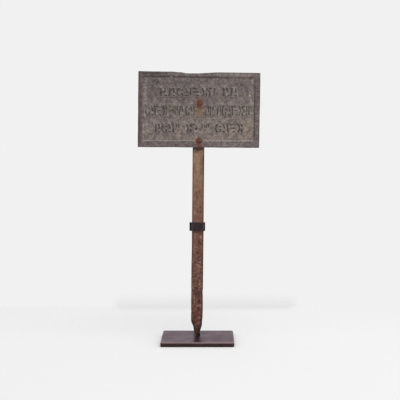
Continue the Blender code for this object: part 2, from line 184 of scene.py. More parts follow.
@dataclass(frozen=True)
class Lean:
    """A local frame that leans about Y, so that its top goes towards +X."""

    x: float
    y: float
    z: float
    angle: float

    def place(self, across: np.ndarray, depth: np.ndarray, up: np.ndarray) -> np.ndarray:
        """World places: across and up turned by the angle, and depth taken off Y.

        Args:
            across: Distances to the right.
            depth: Distances out of the front.
            up: Distances upward.

        Returns:
            Places, with the last dimension of three.
        """
        across, depth, up = np.broadcast_arrays(across, depth, up)
        c, s = math.cos(self.angle), math.sin(self.angle)
        x = self.x + across * c + up * s
        z = self.z - across * s + up * c
        return np.stack((x, self.y - depth, z), axis=-1)

    def local(self, x: float, z: float) -> tuple[float, float]:
        """A world place in this frame, which undoes place.

        Args:
            x: The world place's X.
            z: The world place's Z.

        Returns:
            The distances across and up.
        """
        c, s = math.cos(self.angle), math.sin(self.angle)
        x, z = x - self.x, z - self.z
        return x * c - z * s, x * s + z * c


@dataclass(frozen=True)
class Patch:
    """A soft spot of a painted value, in millimetres of its piece's own frame."""

    x: float
    z: float
    half_width: float
    half_height: float
    strength: float = 1.0

    def paint(self, across: np.ndarray, up: np.ndarray, ragged: np.ndarray) -> np.ndarray:
        """The spot's value: full within an ellipse, fading over its outline, which noise makes ragged.

        Args:
            across: Places across the piece, in metres.
            up: Places up the piece, in metres.
            ragged: Noise added to the share of the way out.

        Returns:
            The value at each place, from 0 to the strength.
        """
        out_x = (across / MM - self.x) / self.half_width
        out_z = (up / MM - self.z) / self.half_height
        return self.strength * smooth(np.hypot(out_x, out_z) + ragged, 1.25, 0.55)


def paint_all(patches: Sequence[Patch], across: np.ndarray, up: np.ndarray, ragged: np.ndarray) -> np.ndarray:
    """The strongest of several patches at each place."""
    return np.maximum.reduce([patch.paint(across, up, ragged) for patch in patches])


def node_middle(node: str) -> tuple[float, float, float]:
    """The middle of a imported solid's box."""
    low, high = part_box(node)
    return tuple((low + high) / 2)


class Skin:
    """Points, faces and painted values gathered for one closed surface."""

    def __init__(self) -> None:
        """Starts empty."""
        self.points: list[np.ndarray] = []
        self.faces: list[np.ndarray] = []
        self.paint: list[dict[str, np.ndarray]] = []
        self.count = 0

    def add(self, points: np.ndarray, **paint: np.ndarray) -> np.ndarray:
        """Adds points.

        Args:
            points: Places, with the last dimension of three.
            paint: One value for each point, by the name of the value.

        Returns:
            The points' numbers, in the shape that the points came in.
        """
        shape = points.shape[:-1]
        ids = self.count + np.arange(int(np.prod(shape))).reshape(shape)
        self.points.append(points.reshape(-1, 3))
        self.paint.append({name: np.broadcast_to(v, shape).ravel() for name, v in paint.items()})
        self.count += ids.size
        return ids

    def grid(self, ids: np.ndarray, skip: Sequence[Block] = (), flip: bool = False) -> None:
        """Adds the quads of a grid.

        Args:
            ids: Point numbers by column and row.
            skip: Blocks without faces, as first and last column, first and last row.
            flip: Whether the faces look the other way.
        """
        keep = np.ones((ids.shape[0] - 1, ids.shape[1] - 1), bool)
        for i0, i1, j0, j1 in skip:
            keep[i0:i1, j0:j1] = False
        corners = [ids[:-1, :-1], ids[1:, :-1], ids[1:, 1:], ids[:-1, 1:]]
        self._face([corner[keep] for corner in corners], flip)

    def bridge(self, ring: np.ndarray, other: np.ndarray, flip: bool = False) -> None:
        """Adds quads between two closed rings of equally many points."""
        self._face([ring, other, np.roll(other, -1), np.roll(ring, -1)], flip)

    def halve(self, fine: np.ndarray, coarse: np.ndarray, flip: bool = False) -> None:
        """Adds faces between a closed ring and one with half as many points."""
        corners = [fine[::2], coarse, np.roll(coarse, -1), np.roll(fine, -2)[::2], fine[1::2]]
        self._face(corners, flip)

    def fan(self, ring: np.ndarray, middle: int, flip: bool = False) -> None:
        """Adds triangles from a closed ring to its middle point."""
        self._face([ring, np.full_like(ring, middle), np.roll(ring, -1)], flip)

    def loft(self, loops: np.ndarray, skip: Sequence[Block] = (), **paint: np.ndarray) -> np.ndarray:
        """Adds a closed body: loops bridged in order, each end closed by two smaller loops and a point.

        Args:
            loops: Places by loop and by point along it, which turns right-handed round the way it goes.
            skip: Blocks without faces, as first and last loop, first and last point.
            paint: One value for each point, by the name of the value.

        Returns:
            The loops' point numbers.
        """
        ids = self.add(loops, **paint)
        self.grid(np.concatenate((ids, ids[:, :1]), axis=1), skip, flip=True)
        for end, last in ((0, False), (-1, True)):
            around = {name: np.broadcast_to(v, ids.shape)[end] for name, v in paint.items()}
            middle = loops[end].mean(axis=0)
            outer = ids[end]
            for share in (0.75, 0.4):
                inner = self.add(middle + (loops[end] - middle) * share, **around)
                self.bridge(outer, inner, flip=last)
                outer = inner
            centre = self.add(middle[None], **{name: np.mean(v) for name, v in around.items()})
            self.fan(outer, int(centre[0]), flip=last)
        return ids

    def _face(self, corners: list[np.ndarray], flip: bool) -> None:
        """Adds faces, given each corner's numbers over all of them."""
        self.faces.append(np.stack(corners[::-1] if flip else corners, axis=-1).reshape(-1, len(corners)))

    def make(self, name: str, sharp: float) -> Piece:
        """Writes the surface into a new object.

        Args:
            name: The object's name.
            sharp: Edges that turn by more than this many degrees aren't smoothed over.

        Returns:
            The object, at the origin.
        """
        mesh = bpy.data.meshes.new(name)
        mesh.vertices.add(self.count)
        mesh.vertices.foreach_set("co", np.concatenate(self.points).astype(np.float32).ravel())
        corners = np.concatenate([f.ravel() for f in self.faces]).astype(np.int32)
        sizes = np.concatenate([np.full(len(f), f.shape[1]) for f in self.faces])
        mesh.loops.add(len(corners))
        mesh.loops.foreach_set("vertex_index", corners)
        mesh.polygons.add(len(sizes))
        mesh.polygons.foreach_set("loop_start", (np.cumsum(sizes) - sizes).astype(np.int32))
        mesh.update(calc_edges=True)
        for value in self.paint[0]:
            values = np.concatenate([paint[value] for paint in self.paint]).astype(np.float32)
            mesh.attributes.new(value, "FLOAT", "POINT").data.foreach_set("value", values)
        mesh.shade_smooth()
        mesh.set_sharp_from_angle(angle=math.radians(sharp))
        made = bpy.data.objects.new(name, mesh)
        bpy.context.scene.collection.objects.link(made)
        return made


def block_ring(ids: np.ndarray, block: Block) -> np.ndarray:
    """The point numbers round a block of a grid: along its first row, last column, last row, first column.

    Args:
        ids: Point numbers by column and row.
        block: First and last column, first and last row.

    Returns:
        The ring's point numbers.
    """
    i0, i1, j0, j1 = block
    back = ids[i0, j0 + 1 : j1 + 1][::-1]
    return np.concatenate((ids[i0:i1, j0], ids[i1, j0:j1], ids[i1:i0:-1, j1], back))


def ring_turns(count: int) -> np.ndarray:
    """Angles of the points round a square block drawn out to a circle, from its lower left corner."""
    return -0.75 * math.pi + 2 * math.pi * np.arange(count) / count


def rounded_box_loop(width: float, depth: float, radius: float, steps: int, across: int = 1) -> np.ndarray:
    """Points round a rectangle with round corners, counter-clockwise and centred.

    Each corner is a quarter circle, and each straight side is divided evenly.

    Args:
        width: Length along the first axis.
        depth: Length along the second axis.
        radius: The corners' radius.
        steps: Divisions of each corner.
        across: Divisions of each straight side.

    Returns:
        Points, with the last dimension of two.
    """
    corners = []
    for quarter, (side_x, side_y) in enumerate(((1, 1), (-1, 1), (-1, -1), (1, -1))):
        turn = math.pi / 2 * (quarter + np.arange(steps + 1) / steps)
        centre = np.array((side_x * (width / 2 - radius), side_y * (depth / 2 - radius)))
        corners.append(centre + radius * np.stack((np.cos(turn), np.sin(turn)), axis=-1))
    share = (np.arange(1, across) / across)[:, None]
    parts = []
    for corner, after in zip(corners, corners[1:] + corners[:1]):
        parts += [corner, corner[-1] * (1 - share) + after[0] * share]
    return np.concatenate(parts)


def quarter_steps(radius: float, steps: int) -> tuple[np.ndarray, np.ndarray]:
    """(inset, rise) along a quarter circle from the side of an edge to its top."""
    turn = math.pi / 2 * np.arange(steps + 1) / steps
    return radius * (1 - np.cos(turn)), radius * np.sin(turn)


def even_lines(stops: Sequence[float], pitch: float) -> np.ndarray:
    """Lines that pass through all stops, with an even number of equal steps between two of them.

    Args:
        stops: Places that a line passes through, in order.
        pitch: About how far apart the lines are.

    Returns:
        The lines' places, from the first stop to the last.
    """
    parts = []
    for start, end in zip(stops, stops[1:]):
        count = 2 * max(1, round((end - start) / pitch / 2))
        parts.append(start + (end - start) * np.arange(count) / count)
    return np.append(np.concatenate(parts), stops[-1])


class Nodes:
    """A tree of shader nodes, built one node at a time."""

    def __init__(self, tree: bpy.types.NodeTree) -> None:
        """Keeps the tree.

        Args:
            tree: The node tree that the nodes go into.
        """
        self.tree = tree

    def node(
        self, kind: str, inputs: dict[str | int, object] | None = None, **settings: object
    ) -> bpy.types.Node:
        """Adds a node.

        Args:
            kind: The node's type name.
            inputs: Sockets to link or values to set, by the input's name or number.
            settings: Properties of the node.

        Returns:
            The node.
        """
        made = self.tree.nodes.new(kind)
        for key, value in settings.items():
            setattr(made, key, value)
        for key, value in (inputs or {}).items():
            if isinstance(value, Socket):
                self.tree.links.new(value, made.inputs[key])
            else:
                made.inputs[key].default_value = value
        return made

    def grade(self, value: Socket, low: float, high: float, start: float = 0.0, end: float = 1.0) -> Socket:
        """A value from low to high made one from start to end, held at both ends."""
        sockets = {"Value": value, "From Min": low, "From Max": high, "To Min": start, "To Max": end}
        return self.node("ShaderNodeMapRange", sockets, interpolation_type="SMOOTHSTEP").outputs[0]

    def window(self, value: Socket, low: float, high: float, fade: float) -> Socket:
        """1 between low and high, fading to 0 on both sides."""
        risen = self.grade(value, low - fade, low)
        return self.math("MULTIPLY", risen, self.grade(value, high + fade, high))

    def math(self, operation: str, first: object, second: object) -> Socket:
        """A sum, product or the like of two values, held between 0 and 1."""
        made = self.node("ShaderNodeMath", {0: first, 1: second}, operation=operation, use_clamp=True)
        return made.outputs[0]

    def mix(self, share: object, first: object, second: object, blend: str = "MIX") -> Socket:
        """One colour mixed into another.

        Args:
            share: How much of the second shows.
            first: The colour beneath, as a socket or a colour.
            second: The colour on top, as a socket or a colour.
            blend: How they mix.

        Returns:
            The mixed colour.
        """
        sides = {6: first, 7: second}
        solid = {k: v if isinstance(v, Socket) else (*v, 1.0) for k, v in sides.items()}
        made = self.node("ShaderNodeMix", {0: share, **solid}, data_type="RGBA", blend_type=blend)
        return made.outputs[2]

    def ramp(self, value: Socket, stops: Sequence[tuple[float, Colour]]) -> Socket:
        """Colours along a value.

        Args:
            value: What picks the colour.
            stops: Where along the value each colour lies, and the colour, in order.

        Returns:
            The colour.
        """
        made = self.node("ShaderNodeValToRGB", {0: value})
        elements = made.color_ramp.elements
        while len(elements) < len(stops):
            elements.new(0.5)
        for element, (place, colour) in zip(elements, stops):
            element.position = place
            element.color = (*colour, 1.0)
        return made.outputs[0]

    def grey_mottle(self, colour: object, value: Socket, spread: float, depth: float) -> Socket:
        """A colour made lighter and darker by a noise value.

        Args:
            colour: The colour beneath.
            value: The noise, about 0.5 on average.
            spread: How far from its average the noise has its full effect.
            depth: The full effect, as a share of the colour.

        Returns:
            The mottled colour.
        """
        low, high = 0.5 * (1.0 - depth), 0.5 * (1.0 + depth)
        grey = self.ramp(value, ((0.5 - spread, (low,) * 3), (0.5 + spread, (high,) * 3)))
        return self.mix(1.0, colour, grey, "OVERLAY")


class Paint(Nodes):
    """A material's node tree, built round a Principled shader."""

    def __init__(self, name: str, **settings: object) -> None:
        """Makes the shader and its output.

        Args:
            name: The material's name.
            settings: Constant shader inputs, with underscores for the spaces in their names.
        """
        self.material = bpy.data.materials.new(name)
        self.material.use_nodes = True
        super().__init__(self.material.node_tree)
        self.shader = self.tree.nodes["Principled BSDF"]
        for key, value in settings.items():
            self.shader.inputs[key.replace("_", " ")].default_value = value
        self.places = self.node("ShaderNodeTexCoord").outputs["Object"]

    def value(self, name: str) -> Socket:
        """A painted value of the mesh."""
        return self.node("ShaderNodeAttribute", attribute_name=name).outputs["Fac"]

    def noise(
        self,
        size: float,
        detail: float = 4.0,
        rough: float = 0.55,
        stretch: tuple[float, float, float] = (1.0, 1.0, 1.0),
    ) -> Socket:
        """Noise over the object's own coordinates.

        Args:
            size: The largest spots' size, in metres.
            detail: How many finer layers are added.
            rough: How strong the finer layers are.
            stretch: How much finer the pattern is along each axis.

        Returns:
            The noise's value socket, about 0.5 on average.
        """
        moved = self.node("ShaderNodeMapping", {"Vector": self.places, "Scale": stretch}).outputs[0]
        sockets = {"Vector": moved, "Scale": 1.0 / size, "Detail": detail, "Roughness": rough}
        return self.node("ShaderNodeTexNoise", sockets).outputs[0]

    def bump(self, *layers: tuple[Socket, float]) -> None:
        """Joins bump layers to the shader.

        Args:
            layers: A height from 0 to 1, and how deep it is in metres.
        """
        normal = None
        for height, distance in layers:
            sockets = {"Height": height, "Distance": distance, "Strength": 1.0}
            if normal is not None:
                sockets["Normal"] = normal
            normal = self.node("ShaderNodeBump", sockets).outputs[0]
        self.tree.links.new(normal, self.shader.inputs["Normal"])

    def done(self, colour: Socket, roughness: Socket) -> Material:
        """Joins the colour and the roughness to the shader.

        Args:
            colour: The base colour.
            roughness: The roughness.

        Returns:
            The material.
        """
        self.tree.links.new(colour, self.shader.inputs["Base Color"])
        self.tree.links.new(roughness, self.shader.inputs["Roughness"])
        return self.material


@dataclass(frozen=True)
class LeadPatina:
    """Weathered cast lead: a dull grey-brown skin, darker on raised faces, stained under the rivets."""

    field: Colour = srgb(110, 99, 97)
    warm: Colour = srgb(136, 122, 112)
    cool: Colour = srgb(98, 87, 91)
    band: Colour = srgb(104, 93, 92)
    letters: Colour = srgb(73, 64, 60)
    gap: Colour = srgb(152, 143, 134)
    # Dark patches of the skin, and painted shade in the recesses, on slopes turned from the lamp and along
    # the rims.
    dirt_and_shade: Colour = srgb(52, 45, 43)
    lit: Colour = srgb(158, 149, 141)
    pale: Colour = srgb(142, 133, 127)
    chalk: Colour = srgb(190, 184, 176)
    lichen: Colour = srgb(150, 144, 120)
    olive: Colour = srgb(126, 107, 85)
    rust: Colour = srgb(118, 86, 71)
    deep_rust: Colour = srgb(92, 52, 40)

    def material(self) -> Material:
        """Builds the material.

        Returns:
            The material.
        """
        paint = Paint("cast_lead_patina", Metallic=0.08, Specular_IOR_Level=0.30)
        broad = paint.noise(0.045, 3.0)
        blotch = paint.noise(0.009, 5.0, 0.62)
        speck = paint.noise(0.0042, 4.0, 0.65)
        colour = paint.mix(paint.value("tone"), self.field, self.warm)
        colour = paint.mix(paint.grade(broad, 0.55, 0.35, 0.0, 0.55), colour, self.cool)
        colour = paint.mix(paint.value("band"), colour, self.band)
        gap = paint.math("MULTIPLY", paint.value("gap"), paint.grade(blotch, 0.34, 0.60, 0.25, 0.85))
        colour = paint.mix(gap, colour, self.gap)
        colour = paint.mix(paint.value("letter"), colour, self.letters)
        colour = paint.mix(paint.math("MULTIPLY", paint.value("pale"), 0.9), colour, self.pale)
        colour = paint.mix(paint.value("dark"), colour, self.dirt_and_shade)
        colour = paint.grey_mottle(colour, blotch, 0.18, 0.34)
        colour = paint.grey_mottle(colour, speck, 0.16, 0.40)
        # Painted shade in the recesses.
        colour = paint.mix(paint.grade(paint.value("recess_shade"), 0.10, 1.0, 0.0, 0.75), colour, self.dirt_and_shade)
        # Painted shade on slopes turned from the lamp, then a painted highlight on slopes facing it.
        colour = paint.mix(paint.math("MULTIPLY", paint.value("shade"), 0.60), colour, self.dirt_and_shade)
        edge_light = paint.math("MULTIPLY", paint.value("lit"), paint.grade(blotch, 0.30, 0.62, 0.25, 0.80))
        colour = paint.mix(edge_light, colour, self.lit)
        # Painted shade along the rounded outer edges.
        colour = paint.mix(paint.math("MULTIPLY", paint.value("rim"), 0.62), colour, self.dirt_and_shade)
        colour = paint.mix(paint.value("chalk"), colour, self.chalk)
        lichen = paint.math("MULTIPLY", paint.value("lichen"), paint.grade(speck, 0.30, 0.60, 0.3, 0.9))
        colour = paint.mix(lichen, colour, self.lichen)
        torn = paint.grade(blotch, 0.32, 0.62)
        olive = paint.math("MULTIPLY", paint.value("stain"), paint.math("ADD", torn, 0.22))
        colour = paint.mix(olive, colour, self.olive)
        rust = paint.math("MULTIPLY", paint.value("rust"), paint.math("ADD", torn, 0.32))
        colour = paint.mix(rust, colour, self.rust)
        colour = paint.mix(paint.value("core"), colour, self.deep_rust)
        paint.bump((blotch, 0.0007), (speck, 0.0002))
        return paint.done(colour, paint.grade(blotch, 0.25, 0.75, 0.55, 0.80))


@dataclass(frozen=True)
class IronRust:
    """Rusted wrought iron: brown and olive above, redder and rougher towards the buried point."""

    foot: float = 0.010
    head: float = 0.425
    by_height: tuple[tuple[float, Colour], ...] = (
        (0.010, srgb(84, 60, 54)),
        (0.030, srgb(90, 62, 54)),
        (0.050, srgb(103, 68, 56)),
        (0.110, srgb(109, 75, 63)),
        (0.165, srgb(106, 74, 62)),
        (0.218, srgb(108, 70, 58)),
        (0.285, srgb(124, 90, 75)),
        (0.335, srgb(133, 101, 84)),
        (0.383, srgb(149, 119, 101)),
        (0.425, srgb(142, 113, 94)),
    )
    olive: Colour = srgb(140, 117, 82)
    red: Colour = srgb(98, 54, 45)
    dark: Colour = srgb(50, 33, 28)
    pale: Colour = srgb(168, 130, 116)
    orange: Colour = srgb(138, 72, 44)
    edge: Colour = srgb(54, 41, 33)

    def material(self) -> Material:
        """Builds the material.

        Returns:
            The material.
        """
        paint = Paint("stake_rust", Metallic=0.05, Specular_IOR_Level=0.25)
        up = paint.node("ShaderNodeSeparateXYZ", {0: paint.places}).outputs[2]
        share = paint.grade(up, self.foot, self.head)
        share.node.interpolation_type = "LINEAR"
        reach = self.head - self.foot
        body = paint.ramp(share, [((z - self.foot) / reach, colour) for z, colour in self.by_height])
        streaks = paint.noise(0.012, 5.0, 0.6, (1, 1, 0.2))
        blotch = paint.noise(0.008, 5.0, 0.65)
        grit = paint.noise(0.0042, 3.0, 0.6)
        speck = paint.noise(0.0024, 3.0, 0.6)
        above = paint.grade(up, 0.17, 0.27)
        olive = paint.math("MULTIPLY", above, paint.grade(streaks, 0.50, 0.62, 0.0, 0.35))
        colour = paint.mix(paint.math("MAXIMUM", olive, paint.value("olive")), body, self.olive)
        colour = paint.mix(paint.grade(streaks, 0.48, 0.36, 0.0, 0.50), colour, self.red)
        colour = paint.mix(paint.grade(blotch, 0.44, 0.32, 0.0, 0.65), colour, self.dark)
        colour = paint.mix(paint.grade(blotch, 0.54, 0.68, 0.0, 0.60), colour, self.pale)
        gritty = paint.grey_mottle(paint.grey_mottle(colour, grit, 0.14, 0.48), speck, 0.20, 0.34)
        colour = paint.mix(paint.math("MULTIPLY", above, 0.75), gritty, colour)
        colour = paint.mix(paint.value("pale"), colour, self.pale)
        colour = paint.mix(paint.grade(paint.value("pit"), 0.1, 1.0, 0.0, 0.75), colour, self.dark)
        colour = paint.mix(paint.value("bloom"), colour, self.orange)
        colour = paint.mix(paint.value("dark"), colour, self.dark)
        colour = paint.mix(paint.math("MULTIPLY", paint.value("edge"), 0.85), colour, self.edge)
        paint.bump((blotch, 0.0009), (grit, 0.0003), (speck, 0.0002))
        return paint.done(colour, paint.grade(blotch, 0.25, 0.75, 0.70, 0.92))


@dataclass(frozen=True)
class RivetRust:
    """The rivets' dark red rust."""

    deep: Colour = srgb(74, 45, 36)
    red: Colour = srgb(104, 66, 54)
    pale: Colour = srgb(128, 94, 80)

    def material(self) -> Material:
        """Builds the material.

        Returns:
            The material.
        """
        paint = Paint("rivet_rust", Metallic=0.05, Specular_IOR_Level=0.20)
        blotch = paint.noise(0.0035, 5.0, 0.65)
        speck = paint.noise(0.0008, 3.0, 0.6)
        colour = paint.ramp(blotch, ((0.36, self.deep), (0.54, self.red), (0.70, self.pale)))
        colour = paint.grey_mottle(colour, speck, 0.2, 0.3)
        paint.bump((blotch, 0.0006), (speck, 0.0002))
        return paint.done(colour, paint.grade(speck, 0.3, 0.7, 0.72, 0.9))


@dataclass(frozen=True)
class BlackPaint:
    """Satin black paint on the clip, rod and pins, greyer along the strap's bends as a painted highlight, and
    near-black on its rear flanges as painted shade.
    """

    black: Colour = srgb(36, 28, 31)
    plum: Colour = srgb(52, 36, 40)
    worn: Colour = srgb(74, 66, 66)
    deep: Colour = srgb(14, 12, 13)

    def material(self) -> Material:
        """Builds the material.

        Returns:
            The material.
        """
        paint = Paint("satin_black", Metallic=0.0, Specular_IOR_Level=0.22)
        cloud = paint.noise(0.007, 4.0)
        speck = paint.noise(0.0009, 3.0)
        colour = paint.mix(paint.grade(cloud, 0.42, 0.62, 0.0, 0.8), self.black, self.plum)
        # Painted highlight: greyer along the strap's rounded bends.
        colour = paint.mix(paint.math("MULTIPLY", paint.value("worn"), 0.35), colour, self.worn)
        # Near-black: painted shade on the strap's rear flanges, and darker on the back plate, rod and pins.
        colour = paint.mix(paint.math("MULTIPLY", paint.value("deep"), 0.9), colour, self.deep)
        colour = paint.grey_mottle(colour, speck, 0.2, 0.2)
        paint.bump((speck, 0.00006))
        return paint.done(colour, paint.grade(cloud, 0.3, 0.7, 0.45, 0.62))


@dataclass(frozen=True)
class BronzeLacquer:
    """The stand plate's dark brown, semi-gloss finish, with a faint brushed grain and a little dust."""

    brown: Colour = srgb(48, 35, 34)
    lighter: Colour = srgb(62, 46, 46)
    top_film_and_sheen: Colour = srgb(56, 40, 44)
    painted_edge_highlight: Colour = srgb(124, 104, 106)
    dust: Colour = srgb(120, 108, 104)

    def material(self) -> Material:
        """Builds the material.

        Returns:
            The material.
        """
        tint = (1.0, 0.80, 0.94, 1.0)
        paint = Paint("bronzed_lacquer", Metallic=0.45, Specular_IOR_Level=0.25, Specular_Tint=tint)
        cloud = paint.noise(0.030, 4.0)
        brushed = paint.noise(0.004, 4.0, 0.6, (0.06, 1, 1))
        speck = paint.noise(0.0012, 2.0)
        colour = paint.mix(paint.grade(cloud, 0.35, 0.70), self.brown, self.lighter)
        colour = paint.mix(paint.grade(brushed, 0.5, 0.8, 0.0, 0.25), colour, self.lighter)
        # Purple film on the top faces: dust, and a painted tint of the top's reflection.
        colour = paint.mix(paint.value("top"), colour, self.top_film_and_sheen)
        # Painted highlight: lighter along the plate's rounded front top edge.
        painted_edge_highlight = paint.math("MULTIPLY", paint.value("edge"), paint.grade(brushed, 0.30, 0.60, 0.65, 1.0))
        colour = paint.mix(painted_edge_highlight, colour, self.painted_edge_highlight)
        colour = paint.mix(paint.grade(speck, 0.66, 0.74, 0.0, 0.30), colour, self.dust)
        paint.bump((brushed, 0.00002), (speck, 0.00001))
        return paint.done(colour, paint.grade(cloud, 0.3, 0.7, 0.30, 0.40))


def dress(piece: Piece, material: Material, slot: Slot, *nodes: str) -> Piece:
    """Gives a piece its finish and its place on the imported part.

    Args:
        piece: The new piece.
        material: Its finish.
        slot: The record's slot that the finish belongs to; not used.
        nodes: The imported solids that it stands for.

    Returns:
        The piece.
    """
    piece.data.materials.append(material)
    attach(piece, "root")
    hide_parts(*nodes)
    log.info("%s: %d faces", piece.name, len(piece.data.polygons))
    return piece


@dataclass(frozen=True)
class Mark:
    """One stroke of the inscription in a row's own frame, with its bow to the right."""

    start: tuple[float, float]
    end: tuple[float, float]
    half_width: float
    bow: float
    height: float

    def distance(self, u: np.ndarray, v: np.ndarray) -> np.ndarray:
        """Distance outside the stroke's outline, negative inside.

        The place is taken along and across the stroke, the bow's parabola is taken off across, and the
        rest is the distance to a rectangle.

        Args:
            u: Places across the row.
            v: Places up the row.

        Returns:
            The distance at each place.
        """
        start, end = np.array(self.start), np.array(self.end)
        length = float(np.hypot(*(end - start)))
        way = (end - start) / length
        along = (u - start[0]) * way[0] + (v - start[1]) * way[1]
        across = -(u - start[0]) * way[1] + (v - start[1]) * way[0]
        share = np.clip(along / length, 0.0, 1.0)
        slope = 4.0 * self.bow * (1.0 - 2.0 * share) / length
        bowed = (across - 4.0 * self.bow * share * (1.0 - share)) / np.sqrt(1.0 + slope**2)
        beyond = np.abs(along - length / 2) - length / 2
        beside = np.abs(bowed) - self.half_width
        outside = np.hypot(np.maximum(beyond, 0.0), np.maximum(beside, 0.0))
        return outside + np.minimum(np.maximum(beyond, beside), 0.0)


@dataclass(frozen=True)
class Word:
    """A run of marks, between shares of the field's width from its middle."""

    start: float
    end: float
    marks: int
    small: bool = False


@dataclass(frozen=True)
class Row:
    """A row of the inscription: its middle and letter height as shares of the field's height."""

    middle: float
    height: float
    weight: float
    words: tuple[Word, ...]


class Inscription:
    """Rows of raised strokes that only stand for lettering."""

    # Each stroke: its start and end in shares of the mark's cell, and its bow in shares of the cell's width.
    MARKS = (
        ((0.20, 0.00, 0.20, 1.00, 0.0), (0.68, 0.50, 0.68, 1.00, 0.0), (0.52, 0.08, 0.96, 0.08, 0.0)),
        ((0.16, 0.00, 0.32, 1.00, 0.0), (0.70, 1.00, 0.84, 0.36, 0.0), (0.60, 0.06, 0.88, 0.06, 0.0)),
        ((0.42, 1.00, 0.42, 0.00, -0.24), (0.67, 0.68, 0.96, 0.68, 0.0), (0.80, 0.40, 0.80, 0.00, 0.0)),
        ((0.84, 0.00, 0.84, 1.00, 0.0), (0.18, 1.00, 0.44, 0.42, 0.0), (0.08, 0.08, 0.54, 0.08, 0.0)),
        ((0.08, 0.92, 0.56, 0.92, 0.0), (0.12, 0.50, 0.90, 0.50, 0.0), (0.46, 0.08, 0.92, 0.08, 0.0)),
        ((0.24, 1.00, 0.24, 0.00, 0.20), (0.81, 0.00, 0.81, 0.42, 0.0), (0.84, 0.66, 0.84, 1.00, 0.0)),
        ((0.22, 0.00, 0.22, 0.62, 0.0), (0.76, 0.36, 0.76, 1.00, 0.0), (0.06, 0.92, 0.44, 0.92, 0.0)),
    )
    SMALL_MARK = ((0.22, 0.52, 0.22, 1.00, 0.0), (0.72, 0.52, 0.72, 1.00, 0.0), (0.38, 0.08, 0.60, 0.08, 0.0))
    ROWS = (
        Row(0.774, 0.162, 0.190, (Word(-0.353, 0.157, 7), Word(0.210, 0.345, 2))),
        Row(
            0.479,
            0.181,
            0.140,
            (
                Word(-0.486, -0.282, 4),
                Word(-0.264, -0.138, 3),
                Word(-0.124, 0.142, 6),
                Word(0.160, 0.250, 2),
                Word(0.264, 0.486, 5),
            ),
        ),
        Row(
            0.201,
            0.166,
            0.175,
            (
                Word(-0.402, -0.222, 3),
                Word(-0.212, -0.170, 1, True),
                Word(-0.128, 0.010, 2),
                Word(0.022, 0.098, 2, True),
                Word(0.142, 0.400, 4),
            ),
        ),
    )
    TILT = math.radians(0.8)
    LIMIT = 0.15
    STROKE_HEIGHT = 1.5 * MM
    STRIP_HEIGHT = 0.30 * MM
    STRIP_MARGIN = 1.6 * MM
    STRIP_EASE = 0.35 * MM
    STROKE_EASE = (-0.25 * MM, 0.85 * MM)
    FACE_EASE = (-0.3 * MM, 0.7 * MM)
    STROKE_REACH = 3.5 * MM
    WEAR_SEED = 41
    LEAST_LEFT = 0.72

    def __init__(self, width: float, bottom: float, height: float, holes: Sequence[Hole]) -> None:
        """Lays the rows out in the plaque's field.

        Args:
            width: The field's width.
            bottom: The field's lower edge above the plaque's foot.
            height: The field's height.
            holes: Places that strokes keep off, as across, up and how far.
        """
        self.middle = (0.0, bottom + height / 2)
        self.strips: list[tuple[float, float, float, float]] = []
        self.strokes: list[Mark] = []
        worn = np.random.default_rng(self.WEAR_SEED)
        made = 0
        for row in self.ROWS:
            letter = height * row.height
            foot = bottom + height * row.middle - letter / 2
            reach = (width * row.words[0].start, width * row.words[-1].end)
            self.strips.append((*reach, foot, foot + letter))
            for word in row.words:
                pitch = width * (word.end - word.start) / word.marks
                half = min(letter * row.weight / 2, pitch * self.LIMIT)
                for n in range(word.marks):
                    shape = self.SMALL_MARK if word.small else self.MARKS[made % len(self.MARKS)]
                    left = width * word.start + pitch * n
                    self._mark(shape, (left, foot), pitch, letter, half, worn)
                    made += 1
        self.strokes = [stroke for stroke in self.strokes if self._clear(stroke, holes)]

    def _mark(
        self,
        shape: Sequence[Stroke],
        corner: tuple[float, float],
        pitch: float,
        letter: float,
        half: float,
        worn: np.random.Generator,
    ) -> None:
        """Adds the strokes of one mark.

        Args:
            shape: The strokes, as start, end and bow in shares of the mark's cell.
            corner: The cell's lower left corner.
            pitch: The cell's width.
            letter: The cell's height.
            half: The strokes' half width.
            worn: Draws how high each stroke still stands.
        """
        rise = letter - 2 * half
        for x0, z0, x1, z1, bow in shape:
            start = (corner[0] + pitch * x0, corner[1] + half + rise * z0)
            end = (corner[0] + pitch * x1, corner[1] + half + rise * z1)
            height = self.STROKE_HEIGHT * worn.uniform(self.LEAST_LEFT, 1.0)
            self.strokes.append(Mark(start, end, half, pitch * bow, height))

    def _clear(self, stroke: Mark, holes: Sequence[Hole]) -> bool:
        """Whether a stroke keeps off the holes."""
        return all(stroke.distance(*self.level(across, up)) >= room for across, up, room in holes)

    def level(self, across: np.ndarray, up: np.ndarray) -> tuple[np.ndarray, np.ndarray]:
        """Places on the plaque in the rows' frame, which is turned about the field's middle.

        Args:
            across: Places to the right of the plaque's middle.
            up: Places above its foot.

        Returns:
            The places across and up the rows.
        """
        c, s = math.cos(self.TILT), math.sin(self.TILT)
        x, z = across - self.middle[0], up - self.middle[1]
        return self.middle[0] + x * c + z * s, self.middle[1] - x * s + z * c

